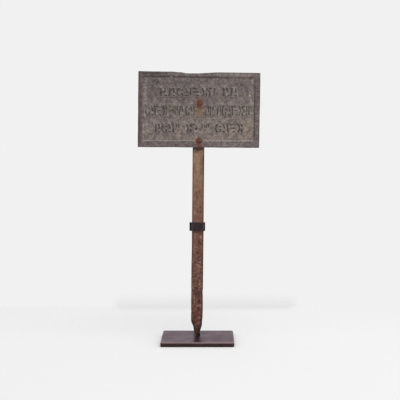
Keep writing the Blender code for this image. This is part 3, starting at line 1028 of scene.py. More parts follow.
    def relief(self, across: np.ndarray, up: np.ndarray) -> tuple[np.ndarray, np.ndarray]:
        """How far the inscription stands off the field.

        Each stroke rises by a smooth step from its outline inward, and the strokes are joined by their
        highest value. A row lies on a strip that is a hair proud of the field.

        Args:
            across: Grid lines to the right of the plaque's middle.
            up: Grid lines above its foot.

        Returns:
            The rise by column and row, and a mask of the strokes' faces.
        """
        u, v = self.level(across[:, None], up[None, :])
        rise = np.zeros(u.shape)
        face = np.zeros(u.shape)
        for left, right, foot, head in self.strips:
            m = self.STRIP_MARGIN
            inside = np.minimum.reduce((u - left + m, right + m - u, v - foot + m, head + m - v))
            rise = np.maximum(rise, self.STRIP_HEIGHT * smooth(inside, -self.STRIP_EASE, self.STRIP_EASE))
        margin = self.STROKE_REACH
        for stroke in self.strokes:
            ends = np.array((stroke.start, stroke.end))
            low, high = ends.min(axis=0) - margin, ends.max(axis=0) + margin
            low[0] += min(stroke.bow, 0.0)
            high[0] += max(stroke.bow, 0.0)
            i = slice(*np.searchsorted(across, (low[0] - margin, high[0] + margin)))
            j = slice(*np.searchsorted(up, (low[1] - margin, high[1] + margin)))
            inward = -stroke.distance(u[i, j], v[i, j])
            rise[i, j] = np.maximum(rise[i, j], stroke.height * smooth(inward, *self.STROKE_EASE))
            face[i, j] = np.maximum(face[i, j], smooth(inward, *self.FACE_EASE))
        return rise, face


@dataclass(frozen=True)
class Plaque:
    """The lead casting: raised frame band, sunk field, inscription, dented top edge and holes."""

    width: float = 261.0 * MM
    height: float = 162.1 * MM
    thickness: float = 6.0 * MM
    edge_radius: float = 1.0 * MM
    foot_rise: float = 2.2 * MM
    frame_side: float = 10.3 * MM
    frame_top: float = 9.8 * MM
    frame_foot: float = 13.7 * MM
    frame_foot_rise: float = 3.3 * MM
    frame_wall: float = 1.0 * MM
    field_depth: float = 1.6 * MM
    # Each dent: its drop, where it starts and where it is full.
    shallow_dent: tuple[float, float, float] = (1.05 * MM, -58.0 * MM, -45.0 * MM)
    deep_dent: tuple[float, float, float] = (2.15 * MM, -40.0 * MM, -26.5 * MM)
    dent_end: tuple[float, float] = (-12.3 * MM, 48.3 * MM)
    seat_radius: float = 6.05 * MM
    seat_sink: float = 0.3 * MM
    rivet_room: float = 3.4 * MM
    nail_hole: float = 1.9 * MM
    nail_room: float = 1.8 * MM
    nail_place: tuple[float, float] = (-5.2 * MM, 40.7 * MM)
    back_shrink: float = 0.998
    back_bevel: float = 0.3 * MM
    pitch: float = 0.775 * MM
    edge_lines: int = 4
    field_corner: float = 2.0 * MM
    lip_height: float = 0.25 * MM
    lip_gap: float = 0.9 * MM
    lip_width: float = 0.7 * MM
    grain_seed: int = 3
    pit_seed: int = 7
    pit_count: int = 460
    sharp: float = 50.0

    # Grid cells from a hole's middle to its block's edge, in the order of the holes.
    HOLE_CELLS = (4, 4, 2)
    # Lighter patches of the skin. The thin lines along the left inner wall (x -119.6) and along the bottom
    # band's inner wall (z 14.5 and 16.6) are painted highlights, where those walls face the lamp.
    PALE = (
        Patch(-115.6, 104.0, 4.4, 46.0, 0.55),
        Patch(-119.6, 38.0, 1.5, 26.0, 0.90),
        Patch(-111.6, 46.0, 1.3, 11.0, 0.85),
        Patch(113.0, 104.0, 5.0, 44.0, 0.40),
        Patch(82.6, 116.0, 0.9, 18.0, 0.65),
        Patch(30.0, 14.5, 62.0, 1.4, 0.30),
        Patch(92.0, 16.6, 24.0, 1.3, 0.70),
        Patch(80.0, 157.0, 48.0, 4.6, 0.55),
        Patch(70.0, 7.0, 50.0, 5.0, 0.30),
    )
    DARK = (
        Patch(-103.0, 157.5, 26.0, 3.4, 0.55),
        Patch(-98.0, 126.0, 12.0, 25.0, 0.22),
        Patch(100.0, 116.0, 7.0, 20.0, 0.20),
        Patch(-123.5, 78.0, 5.5, 78.0, 0.22),
    )
    CHALK = (
        Patch(-75.4, 123.5, 1.5, 1.4, 0.85),
        Patch(-100.7, 75.1, 1.6, 1.3, 0.70),
        Patch(-98.3, 146.8, 1.3, 1.2, 0.45),
        Patch(-60.1, 150.7, 2.6, 1.6, 0.35),
        Patch(58.8, 114.4, 1.4, 1.0, 0.80),
        Patch(58.0, 121.5, 1.3, 0.9, 0.60),
        Patch(76.0, 127.8, 0.8, 4.0, 0.55),
        Patch(108.0, 114.3, 1.2, 1.2, 0.60),
        Patch(111.9, 145.3, 1.5, 1.3, 0.55),
        Patch(97.0, 74.9, 1.3, 2.6, 0.65),
        Patch(51.7, 43.2, 1.2, 1.4, 0.55),
        Patch(67.6, 26.7, 1.1, 1.1, 0.50),
        Patch(-7.0, 36.2, 2.8, 0.9, 0.75),
    )
    LICHEN = (Patch(-67.0, 68.0, 4.6, 3.6, 0.85), Patch(-60.0, 74.0, 3.0, 4.0, 0.40))

    def holes(self, hang: Lean) -> list[Hole]:
        """Where the holes are: lower and upper rivet, then the nail hole.

        Args:
            hang: The plaque's own frame.

        Returns:
            The holes, as across, up and radius.
        """
        places = []
        for node in ("rivet_lower", "rivet_upper"):
            x, _, z = node_middle(node)
            places.append((*hang.local(x, z), RIVET_HOLE_RADIUS))
        return [*places, (*self.nail_place, self.nail_hole)]

    def lines(self, low: float, high: float, stops: Sequence[float]) -> np.ndarray:
        """Grid lines from edge to edge: close at the rounded edges, and evenly between the stops.

        Args:
            low: The lower edge.
            high: The upper edge.
            stops: Places that a line passes through.

        Returns:
            The lines' places, in order.
        """
        inset, _ = quarter_steps(self.edge_radius, self.edge_lines)
        middle = even_lines([low + self.edge_radius, *sorted(stops), high - self.edge_radius], self.pitch)
        return np.concatenate((low + inset[:-1], middle, (high - inset[:-1])[::-1]))

    def dent(self, across: np.ndarray) -> np.ndarray:
        """How far the top edge sags: a shallow step and a deep one down, then one long smooth step up.

        Args:
            across: Places along the edge.

        Returns:
            The sag at each place.
        """
        steps = (self.shallow_dent, self.deep_dent)
        down = sum(drop * smooth(across, start, end) for drop, start, end in steps)
        return down * (1.0 - smooth(across, *self.dent_end))

    def field_inside(self, across: np.ndarray, up: np.ndarray) -> np.ndarray:
        """Distance inside the frame band's inner edge, with its corners a little round.

        Args:
            across: Places across the plaque.
            up: Places up the plaque.

        Returns:
            The distance at each place, negative on the band.
        """
        foot = self.frame_foot + self.frame_foot_rise * (across / self.width + 0.5)
        sideways = self.width / 2 - self.frame_side - np.abs(across)
        upward = np.minimum(up - foot, self.height - self.frame_top - up)
        corner = self.field_corner
        out = np.hypot(np.maximum(corner - sideways, 0.0), np.maximum(corner - upward, 0.0))
        return np.where(out > 0, corner - out, np.minimum(sideways, upward))

    def outline(self, across: np.ndarray, up: np.ndarray, grain: Grain) -> tuple[np.ndarray, np.ndarray]:
        """Where the grid's points lie on the plate.

        The top edge's sag and the foot's rise fade out over the frame band, and so does the uneven
        line of the cast edges.

        Args:
            across: Columns of the even grid.
            up: Rows of the even grid.
            grain: Noise for the uneven edges.

        Returns:
            The points' places across and up.
        """
        u, v = np.meshgrid(across, up, indexing="ij")
        top = np.clip((v - (self.height - self.frame_top)) / self.frame_top, 0.0, 1.0)
        foot = np.clip(1.0 - v / self.frame_foot, 0.0, 1.0)
        left = np.clip(1.0 - (u + self.width / 2) / self.frame_side, 0.0, 1.0)
        right = np.clip(1.0 - (self.width / 2 - u) / self.frame_side, 0.0, 1.0)
        spots = np.stack((u, v, np.zeros_like(u)), axis=-1)
        wander = np.clip(0.28 * MM * grain.rough(spots, 26.0 * MM, 4), -0.35 * MM, 0.15 * MM)
        corner = smooth(np.abs(u), self.width / 2 - 14 * MM, self.width / 2 - 3 * MM)
        corner *= smooth(np.abs(v - self.height / 2), self.height / 2 - 14 * MM, self.height / 2 - 3 * MM)
        wander = np.where(wander > 0, wander * (1.0 - corner), wander)
        v2 = v - top * (self.dent(u) - wander) + foot * (self.foot_rise * (u / self.width + 0.5) - wander)
        return u + (right - left) * wander, v2

    def depths(
        self,
        across: np.ndarray,
        up: np.ndarray,
        words: Inscription,
        holes: Sequence[Hole],
        grain: Grain,
    ) -> tuple[np.ndarray, Values]:
        """How far the front stands off the back plane, with the values that the patina reads.

        Args:
            across: Columns of the even grid.
            up: Rows of the even grid.
            words: The inscription.
            holes: The holes, as across, up and radius.
            grain: Noise for the cast skin.

        Returns:
            The depths by column and row, and the painted values by name.
        """
        u, v = np.meshgrid(across, up, indexing="ij")
        spots = np.stack((u, v, np.full_like(u, 0.3)), axis=-1)
        inset = np.minimum.reduce((u + self.width / 2, self.width / 2 - u, v, self.height - v))
        drop = self.edge_radius - np.minimum(inset, self.edge_radius)
        rounding = self.edge_radius - np.sqrt(np.maximum(self.edge_radius**2 - drop**2, 0.0))
        sunk = smooth(self.field_inside(u, v), -0.1 * MM, self.frame_wall)
        rise, face = words.relief(across, up)
        depth = self.thickness - self.field_depth * sunk + rise * sunk
        worn = smooth(inset, 0.0, 2.0 * MM)
        depth -= worn * (0.10 * MM + 0.10 * MM * grain.rough(spots, 34.0 * MM, 3))
        depth += worn * 0.10 * MM * grain.rough(spots + 3.1, 5.0 * MM, 4)
        depth -= worn * self.pits(u, v)
        depth -= 0.5 * MM * smooth(v, self.height - 14 * MM, self.height) * self.dent(u) / self.deep_dent[0]
        for x, z, _ in holes[:2]:
            away = np.hypot(u - x, v - z)
            off = (away - self.seat_radius - self.lip_gap) / self.lip_width
            lip = self.lip_height * np.exp(-(off**2))
            seat = self.thickness - self.field_depth - self.seat_sink
            inside = smooth(away, self.seat_radius + 0.35 * MM, self.seat_radius - 0.2 * MM)
            depth = (depth + lip) * (1.0 - inside) + np.minimum(depth, seat) * inside
            face *= 1.0 - inside
        # Painted light: slopes facing the lamp, up and to the right, get a painted highlight, and slopes
        # facing away get painted shade.
        slope_u, slope_v = np.gradient(depth, across, up)
        toward = blur(-(0.35 * slope_u + 0.94 * slope_v) * worn, 2)
        nail_x, nail_z, nail_radius = holes[2]
        nail = smooth(np.hypot(u - nail_x, v - nail_z), nail_radius + 1.4 * MM, nail_radius)
        near = np.clip(2.2 * blur(face, 4), 0.0, 1.0)
        # Painted shade in the recesses at the foot of the walls and round the nail hole, taken off near the
        # strokes and where walls face the lamp.
        recess_shade = np.clip((blur(depth, 8) - depth) / (0.40 * MM), 0.0, 1.0)
        recess_shade *= (1.0 - 0.85 * near) * (1.0 - smooth(blur(toward, 6), 0.03, 0.15))
        # Painted shade along the rounded outer edges, widest on the left, away from the lamp.
        left_edge_shade = 0.8 * smooth(u + self.width / 2, 6.0 * MM, 2.5 * MM)
        # The painted shade fades out towards the top right.
        shade_fade = 0.65 * smooth(u, 35.0 * MM, 60.0 * MM) * smooth(v, 130.0 * MM, 140.0 * MM)
        values = {
            "band": 1.0 - sunk,
            "letter": face,
            "gap": near * (1.0 - face),
            "recess_shade": np.maximum(recess_shade * (1.0 - shade_fade), nail),
            "lit": np.clip(toward * 1.5, 0.0, 1.0),
            "shade": np.clip(-toward * 1.5, 0.0, 1.0) * (1.0 - shade_fade),
            "rim": np.maximum(smooth(inset, 2.0 * MM, 0.5 * MM), left_edge_shade),
            "tone": np.clip(0.30 + 0.40 * (u / self.width) + 0.9 * (0.5 - v / self.height), 0.0, 1.0),
            **self.stains_and_highlights(u, v, holes, grain),
        }
        return np.minimum(depth, self.thickness) - rounding, values

    def pits(self, u: np.ndarray, v: np.ndarray) -> np.ndarray:
        """Small bell-shaped pits and knocks, scattered over the face.

        Args:
            u: Places across.
            v: Places up.

        Returns:
            The pits' depth at each place.
        """
        chance = np.random.default_rng(self.pit_seed)
        total = np.zeros(u.shape)
        for _ in range(self.pit_count):
            x = chance.uniform(-self.width / 2, self.width / 2)
            z = chance.uniform(0.0, self.height)
            radius = chance.uniform(0.5, 1.6) * MM
            deep = chance.uniform(0.05, 0.32) * MM
            i = slice(*np.searchsorted(u[:, 0], (x - 3 * radius, x + 3 * radius)))
            j = slice(*np.searchsorted(v[0], (z - 3 * radius, z + 3 * radius)))
            away = ((u[i, j] - x) ** 2 + (v[i, j] - z) ** 2) / radius**2
            total[i, j] += deep * np.exp(-away)
        return total

    def stains_and_highlights(self, u: np.ndarray, v: np.ndarray, holes: Sequence[Hole], grain: Grain) -> Values:
        """Rust and its olive run-off round the rivets, the patches of the patina, and a few lines of painted
        highlight.

        Args:
            u: Places across.
            v: Places up.
            holes: The holes, as across, up and radius.
            grain: Noise for the outlines.

        Returns:
            The painted values by name.
        """
        spots = np.stack((u, v, np.full_like(u, 0.7)), axis=-1)
        ragged = 0.35 * grain.rough(spots, 5.0 * MM, 4)
        (low_x, low_z, _), (up_x, up_z, _), _ = np.array(holes) / MM
        rust = (
            Patch(up_x + 0.2, up_z - 1.5, 7.4, 12.5, 0.95),
            Patch(up_x + 1.4, up_z + 0.5, 12.0, 16.5, 0.40),
            Patch(low_x - 0.6, low_z - 3.0, 7.4, 13.0, 0.95),
            Patch(low_x - 0.8, low_z - 4.0, 12.0, 15.0, 0.35),
        )
        olive = (
            Patch(up_x + 0.4, up_z - 19.0, 7.0, 11.0, 0.95),
            Patch(up_x + 1.0, up_z - 21.0, 12.0, 17.0, 0.45),
        )
        core = (
            Patch(up_x, up_z - 2.5, 6.2, 11.0, 0.66),
            Patch(low_x - 0.3, low_z - 5.0, 6.2, 12.0, 0.66),
        )
        groups = {
            "rust": rust,
            "core": core,
            "stain": olive,
            "lichen": self.LICHEN,
            "chalk": self.CHALK,
            "pale": self.PALE,
            "dark": self.DARK,
        }
        return {name: paint_all(patches, u, v, ragged) for name, patches in groups.items()}

    def back(self, u: np.ndarray, v: np.ndarray, hang: Lean, grain: Grain) -> np.ndarray:
        """Places of the coarser back: every second point of the front, drawn in a little, with a rough skin.

        Args:
            u: The front's places across.
            v: The front's places up.
            hang: The plaque's own frame.
            grain: Noise for the rough skin.

        Returns:
            Places by column and row.
        """
        middle = self.height / 2
        u, v = u[::2, ::2] * self.back_shrink, middle + (v[::2, ::2] - middle) * self.back_shrink
        spots = np.stack((u, v, np.full_like(u, 1.9)), axis=-1)
        rim = np.minimum.reduce((u + self.width / 2, self.width / 2 - u, v, self.height - v))
        rough = 0.22 * MM * (grain.rough(spots, 22 * MM, 4) + 1.2) * smooth(rim, 0.5 * MM, 5 * MM)
        return hang.place(u, rough, v)

    def build(self, hang: Lean, material: Material) -> Piece:
        """Makes the casting: front grid, side walls, coarser back grid and the walls of the holes.

        Args:
            hang: The plaque's own frame, with its origin at its foot on the back plane.
            material: Its finish.

        Returns:
            The piece.
        """
        grain = Grain(self.grain_seed)
        holes = self.holes(hang)
        wide = self.width - 2 * (self.frame_side + self.frame_wall)
        bottom = self.frame_foot + self.frame_wall + self.frame_foot_rise / 2
        tall = self.height - self.frame_top - self.frame_wall - bottom
        rooms = (self.rivet_room, self.rivet_room, self.nail_room)
        clear = [(x, z, radius + room) for (x, z, radius), room in zip(holes, rooms)]
        words = Inscription(wide, bottom, tall, clear)
        columns = sorted({round(holes[2][0], 6), round((holes[0][0] + holes[1][0]) / 2, 6)})
        across = self.lines(-self.width / 2, self.width / 2, columns)
        up = self.lines(0.0, self.height, [z for _, z, _ in holes])
        u, v = self.outline(across, up, grain)
        depth, values = self.depths(across, up, words, holes, grain)
        numbers = np.arange(u.size).reshape(u.shape)
        blocks = [(0, len(across) - 1, 0, len(up) - 1)]
        for (x, z, radius), half in zip(holes, self.HOLE_CELLS):
            i = 2 * int(np.argmin(np.abs(across[::2] - x)))
            j = 2 * int(np.argmin(np.abs(up[::2] - z)))
            blocks.append((i - half, i + half, j - half, j + half))
            ring = block_ring(numbers, blocks[-1])
            turn = ring_turns(len(ring))
            u.ravel()[ring] = x + radius * np.cos(turn)
            v.ravel()[ring] = z + radius * np.sin(turn)
        half_blocks = [tuple(n // 2 for n in block) for block in blocks]
        plain = {name: 0.0 for name in values} | {"band": 1.0}
        skin = Skin()
        front = skin.add(hang.place(u, depth, v), **values)
        skin.grid(front, blocks[1:])
        back = skin.add(self.back(u, v, hang, grain), **plain)
        skin.grid(back, half_blocks[1:], flip=True)
        for n, (block, half_block) in enumerate(zip(blocks, half_blocks)):
            flat = block_ring(numbers, block)
            ring_u, ring_v, ring_depth = u.ravel()[flat], v.ravel()[flat], depth.ravel()[flat]
            before = block_ring(front, block)
            for share in (0.7, 0.35, 0.0):
                level = self.back_bevel + (ring_depth - self.back_bevel) * share
                after = skin.add(hang.place(ring_u, level, ring_v), **plain)
                skin.bridge(before, after, flip=n > 0)
                before = after
            skin.halve(before, block_ring(back, half_block), flip=n > 0)
        return dress(skin.make("plaque_casting", self.sharp), material, Slot.LEAD, "plaque")


@dataclass(frozen=True)
class Stake:
    """The flat iron bar: eased edges, hammered point, rust scale and two rivet holes."""

    width: float = 25.4 * MM
    thickness: float = 8.0 * MM
    edge_radius: float = 2.0 * MM
    foot_ease: float = 0.6 * MM
    point_length: float = 40.0 * MM
    point_thickness: float = 5.0 * MM
    rusted_above_point: float = 165.0 * MM
    rust_loss: float = 0.4 * MM
    rust_swell: float = 0.7 * MM
    swell_start: float = 200.0 * MM
    swell_full: float = 140.0 * MM
    # Each wave of the rusted outline: its strength, and its angle in radians for each metre.
    waves: tuple[tuple[float, float], ...] = ((0.3, 150.0), (0.2, 390.0))
    phases: tuple[float, float] = (0.0, 2.1)
    notch_depth: float = 0.55 * MM
    notch_height: float = 95.0 * MM
    notch_half: float = 8.0 * MM
    crack_height: float = 106.0 * MM
    grain_seed: int = 11
    hole_cells: int = 4
    pitch: float = 0.8 * MM
    corner_steps: int = 4
    side_steps: int = 5
    # Each place: its share of the point's length, and the left and right shares of the half width.
    point: tuple[tuple[float, float, float], ...] = (
        (0.00, 0.19, 0.18),
        (0.02, 0.25, 0.24),
        (0.08, 0.345, 0.36),
        (0.16, 0.43, 0.48),
        (0.27, 0.485, 0.60),
        (0.39, 0.56, 0.72),
        (0.49, 0.635, 0.82),
        (0.60, 0.755, 0.89),
        (0.71, 0.915, 0.905),
        (0.83, 0.975, 0.945),
        (1.00, 0.985, 1.00),
    )

    PALE = (
        Patch(-6.3, 273.0, 2.6, 6.0, 0.50),
        Patch(7.0, 215.0, 2.4, 5.0, 0.60),
        Patch(-6.0, 218.0, 3.0, 8.0, 0.30),
        Patch(-6.5, 190.0, 3.0, 14.0, 0.25),
        Patch(7.0, 66.0, 2.4, 4.0, 0.50),
        Patch(-6.0, 72.0, 3.0, 5.0, 0.35),
        Patch(5.0, 37.5, 3.2, 5.5, 0.45),
        Patch(2.0, 150.0, 6.0, 10.0, 0.22),
        Patch(-1.6, 17.0, 1.3, 3.0, 0.50),
        Patch(1.8, 25.0, 1.6, 3.5, 0.50),
    )
    BLOOM = (
        Patch(-8.0, 88.0, 2.2, 7.0, 0.70),
        Patch(0.5, 33.5, 4.0, 5.0, 0.35),
        Patch(-4.0, 50.0, 3.2, 6.0, 0.25),
    )
    OLIVE = (
        Patch(4.0, 368.0, 2.8, 22.0, 0.80),
        Patch(0.5, 295.0, 2.6, 14.0, 0.80),
        Patch(-5.5, 325.0, 3.0, 7.0, 0.60),
    )
    # Darker spots of the rust. The first patch, just under the plaque's foot, is the plaque's painted shadow,
    # and the thin wide one at 226.5 mm, just under the clip, is the clip's painted shadow.
    DARK = (
        Patch(0.0, 408.5, 14.0, 8.5, 0.75),
        Patch(-2.8, 312.0, 1.3, 2.4, 0.75),
        Patch(5.2, 282.0, 1.6, 2.6, 0.75),
        Patch(-0.8, 272.0, 1.6, 4.0, 0.60),
        Patch(11.0, 372.0, 1.8, 20.0, 0.55),
        Patch(4.0, 206.0, 5.0, 9.0, 0.50),
        Patch(0.0, 183.0, 3.0, 7.0, 0.40),
        Patch(2.5, 86.0, 5.0, 12.0, 0.45),
        Patch(4.0, 55.0, 3.6, 6.0, 0.45),
        Patch(0.0, 226.5, 13.0, 2.0, 0.55),
        Patch(0.0, 14.0, 7.0, 13.0, 0.30),
        Patch(-3.5, 8.0, 2.0, 6.0, 0.55),
    )

    def half_widths(self, up: np.ndarray) -> tuple[np.ndarray, np.ndarray]:
        """The stake's left and right half widths at heights above its tip.

        Between the point's stated shares they run straight. Rust scale has swollen the left edge low
        down, and slow waves are eaten into both edges, which die out upward.

        Args:
            up: Heights above the tip.

        Returns:
            Left and right half widths.
        """
        share, left, right = np.array(self.point).T
        swell = self.rust_swell * smooth(up, self.swell_start, self.swell_full)
        end = self.point_length + self.rusted_above_point
        fade = smooth(up, end, self.point_length) * smooth(up, 0.0, self.point_length)
        sides = []
        halves = (self.width / 2 + swell, self.width / 2)
        for full, outline, phase in zip(halves, (left, right), self.phases):
            wave = 0.5 + sum(part * np.sin(count * up + phase) for part, count in self.waves)
            eaten = self.rust_loss * wave * fade
            sides.append(full * np.interp(up / self.point_length, share, outline) - eaten)
        notch = self.notch_depth * np.exp(-(((up - self.notch_height) / self.notch_half) ** 2))
        return sides[0], sides[1] - notch

    def end_inset(self, up: np.ndarray, length: float) -> np.ndarray:
        """How far the section is drawn in at both ends, along quarter circles.

        Args:
            up: Heights above the tip.
            length: The stake's length.

        Returns:
            The inset at each height.
        """
        head = np.clip((up - (length - self.edge_radius)) / self.edge_radius, 0.0, 1.0)
        foot = np.clip((self.foot_ease - up) / self.foot_ease, 0.0, 1.0)
        at_head = 0.9 * self.edge_radius * (1 - np.sqrt(1 - head**2))
        return at_head + 0.8 * self.foot_ease * (1 - np.sqrt(1 - foot**2))

    def section(self, up: np.ndarray, flat: np.ndarray, length: float) -> tuple[np.ndarray, np.ndarray]:
        """Points round the stake at each height.

        The front runs left to right along the given shares of its width, then come a quarter circle,
        the right side, a quarter circle, the back the other way, and the left side.

        Args:
            up: Heights above the tip.
            flat: Shares of the flat front, from -1 to 1.
            length: The stake's length.

        Returns:
            Places across and out of the front, by height and by point.
        """
        left, right = self.half_widths(up)
        inset = self.end_inset(up, length)
        left, right = left - inset, right - inset
        thin = smooth(up, 0.0, self.point_length)
        half_depth = (self.point_thickness + (self.thickness - self.point_thickness) * thin) / 2 - inset
        radius = np.minimum(self.edge_radius, np.minimum(0.3 * (left + right), 0.9 * half_depth))[:, None]
        middle = ((right - left) / 2)[:, None]
        half_flat = ((left + right) / 2)[:, None] - radius
        half_side = half_depth[:, None] - radius
        turn = (math.pi / 2 * np.arange(1, self.corner_steps) / self.corner_steps)[None]
        side = (1.0 - 2.0 * np.arange(self.side_steps + 1) / self.side_steps)[None]
        across = [half_flat * flat, half_flat + radius * np.sin(turn), half_flat + radius + 0 * side]
        across.append(half_flat + radius * np.cos(turn))
        depth = [half_side + radius + 0 * flat, half_side + radius * np.cos(turn), half_side * side]
        depth.append(-half_side - radius * np.sin(turn))
        x, y = np.concatenate(across, axis=1), np.concatenate(depth, axis=1)
        return middle + np.concatenate((x, -x), axis=1), np.concatenate((y, -y), axis=1)

    def weather(self, spots: np.ndarray, buried: np.ndarray, grain: Grain) -> np.ndarray:
        """How deep rust has eaten, from 0 to about 1: broad scale, sharp-edged flakes and one crack.

        Args:
            spots: Places on the bar in its own frame.
            buried: 1 where the bar stood in the ground, 0 above.
            grain: Noise.

        Returns:
            The loss at each place.
        """
        broad = grain.rough(spots * np.array((1.0, 1.0, 0.6)), 11 * MM, 4)
        flakes = smooth(grain.rough(spots + 2.3, 6 * MM, 3), 0.05, 0.22)
        fine = grain.rough(spots + 4.1, 2.2 * MM, 3)
        rise = spots[..., 2] - self.crack_height
        crack = np.exp(-(((spots[..., 0] + 0.7 * rise + 6 * MM) / (1.1 * MM)) ** 2))
        crack *= smooth(np.abs(rise), 6 * MM, 3 * MM) * (spots[..., 1] > 0)
        scale = 0.45 + 0.35 * broad + 0.25 * flakes * (0.3 + buried) + 0.12 * fine + 0.8 * crack
        return np.clip(scale, 0.0, 1.3)

    def marks(
        self, spots: np.ndarray, from_left: np.ndarray, from_right: np.ndarray, grain: Grain
    ) -> Values:
        """The values that the rust reads, with the painted shadows of the plaque and the clip among the dark
        patches.

        Args:
            spots: Places on the bar in its own frame.
            from_left: Distances from the left edge.
            from_right: Distances from the right edge.
            grain: Noise.

        Returns:
            The painted values by name.
        """
        u, height = spots[..., 0], spots[..., 2]
        front = (spots[..., 1] > 0).astype(float)
        ragged = 0.35 * grain.rough(spots + 1.7, 4.0 * MM, 4)
        dark_left = smooth(from_left, 2.6 * MM, 0.8 * MM)
        dark_right = smooth(from_right, 1.6 * MM, 0.4 * MM)
        soft_right = 0.5 * smooth(from_right, 4.4 * MM, 2.6 * MM)
        groups = {"pale": self.PALE, "bloom": self.BLOOM, "olive": self.OLIVE, "dark": self.DARK}
        painted = {name: front * paint_all(patches, u, height, ragged) for name, patches in groups.items()}
        return {"edge": np.maximum.reduce((dark_left, dark_right, soft_right)), **painted}

    def build(self, tip: Lean, material: Material) -> Piece:
        """Makes the stake, with tunnels where the rivets pass.

        Args:
            tip: The stake's own frame, with its origin at its tip on its middle plane.
            material: Its finish.

        Returns:
            The piece.
        """
        grain = Grain(self.grain_seed)
        low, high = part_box("stake")
        length = (high.z - low.z) / math.cos(tip.angle) - 0.1 * MM
        rivets = [tip.local(*node_middle(node)[::2]) for node in ("rivet_lower", "rivet_upper")]
        foot_inset, _ = quarter_steps(self.foot_ease, 4)
        _, head_rise = quarter_steps(self.edge_radius, 6)
        stops = [self.foot_ease, rivets[0][1], rivets[1][1], length - self.edge_radius]
        straight = even_lines(stops, self.pitch)
        up = np.concatenate((foot_inset[:-1], straight[:-1], length - self.edge_radius + head_rise))
        half_flat = self.width / 2 - self.edge_radius
        hole_share = (rivets[0][0] + rivets[1][0]) / 2 / half_flat
        flat = even_lines([-1.0, -hole_share, hole_share, 1.0], self.pitch / half_flat)
        across, depth = self.section(up, flat, length)
        height = np.repeat(up[:, None], across.shape[1], axis=1)
        spots = np.stack((across, depth, height), axis=-1)
        left, right = across.min(axis=1)[:, None], across.max(axis=1)[:, None]
        values = self.marks(spots, across - left, right - across, grain)
        outward = np.stack((across - (left + right) / 2, depth * 3.0), axis=-1)
        outward /= np.linalg.norm(outward, axis=-1, keepdims=True)
        sideways = smooth(np.abs(outward[..., 0]), 0.6, 0.95)
        buried = smooth(height, 175 * MM, 60 * MM)
        eaten = self.weather(spots, buried, grain)
        values["pit"] = np.clip(eaten - 0.45, 0.0, 1.0) * 1.5
        loss = (0.06 + 0.34 * buried) * MM * eaten * (1.0 - 0.6 * sideways)
        loss *= smooth(np.minimum(height, length - height), -2 * MM, 3 * MM)
        across, depth = across - outward[..., 0] * loss, depth - outward[..., 1] * loss

        numbers = np.arange(across.size).reshape(across.shape)
        front_column = int(np.argmin(np.abs(flat - hole_share)))
        back_column = int(np.argmin(np.abs(flat + hole_share))) + across.shape[1] // 2
        blocks, pairs = [], []
        for x, z in rivets:
            row = int(np.argmin(np.abs(up - z)))
            rings = []
            for side, column in ((1, front_column), (-1, back_column)):
                n = self.hole_cells
                blocks.append((row - n, row + n, column - n, column + n))
                ring = block_ring(numbers, blocks[-1])
                turn = ring_turns(len(ring))
                across.ravel()[ring] = x + RIVET_HOLE_RADIUS * np.sin(turn) * side
                height.ravel()[ring] = z + RIVET_HOLE_RADIUS * np.cos(turn)
                rings.append(ring)
            opposite = (3 * len(ring) // 4 - np.arange(len(ring))) % len(ring)
            pairs.append((rings[0], rings[1][opposite]))
        skin = Skin()
        places = tip.place(across, depth, height)
        skin.loft(places, blocks, **values)
        for front, back in pairs:
            before = front
            for share in (0.25, 0.5, 0.75):
                between = places.reshape(-1, 3)[front] * (1 - share) + places.reshape(-1, 3)[back] * share
                after = skin.add(between, **{name: 0.0 for name in values})
                skin.bridge(before, after)
                before = after
            skin.bridge(before, back)
        return dress(skin.make("stake_bar", SHARP_DEGREES), material, Slot.STAKE_IRON, "stake")


@dataclass(frozen=True)
class Rivet:
    """A hammered iron rivet: domed head in front, shank, and a smaller tail behind."""

    node: str
    seed: int
    shank: float = 3.0 * MM
    head_radius: float = 5.75 * MM
    head_height: float = 2.2 * MM
    tail_radius: float = 5.0 * MM
    tail_height: float = 2.0 * MM
    sides: int = 72
    dome_steps: int = 14

    def dome(self, radius: float, height: float) -> tuple[np.ndarray, np.ndarray]:
        """(radius, rise) from the crown to the rim of a low dome, on a quarter ellipse."""
        turn = math.pi / 2 * (1 - np.arange(1, self.dome_steps + 1) / self.dome_steps)
        return radius * np.cos(turn), height * np.sin(turn)

    def build(self, material: Material) -> Piece:
        """Makes the rivet along Y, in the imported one's box.

        The profile of (radius, place along Y) is turned about the rivet's axis, and noise moves each
        point along its radius and its dome.

        Args:
            material: Its finish.

        Returns:
            The piece.
        """
        low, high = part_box(self.node)
        x, _, z = node_middle(self.node)
        head_r, head_rise = self.dome(self.head_radius, self.head_height)
        tail_r, tail_rise = self.dome(self.tail_radius, self.tail_height)
        seat = low.y + self.head_height
        back = high.y - self.tail_height
        radius = np.concatenate((head_r, [self.shank, self.shank, self.shank], tail_r[::-1]))[:, None]
        along = np.concatenate((seat - head_rise, [seat, (seat + back) / 2, back], (back + tail_rise)[::-1]))
        along = np.repeat(along[:, None], self.sides, axis=1)
        turn = 2 * math.pi * np.arange(self.sides) / self.sides
        spots = np.stack((radius * np.cos(turn), along, radius * np.sin(turn)), axis=-1)
        lump = Grain(self.seed).rough(spots, 4.0 * MM, 4)
        shrink = 1.0 - 0.05 * (1.0 + lump) * (radius > self.shank * 1.05)
        flatten = 0.22 * MM * (1.0 + lump) * smooth(radius, self.head_radius, 0.0)
        toward = np.where(along < seat, 1.0, np.where(along > back, -1.0, 0.0))
        moved = (x + spots[..., 0] * shrink, along + flatten * toward, z + spots[..., 2] * shrink)
        skin = Skin()
        skin.loft(np.stack(moved, axis=-1)[:, ::-1])
        return dress(skin.make(f"{self.node}_iron", SHARP_DEGREES), material, Slot.RIVET_IRON, self.node)


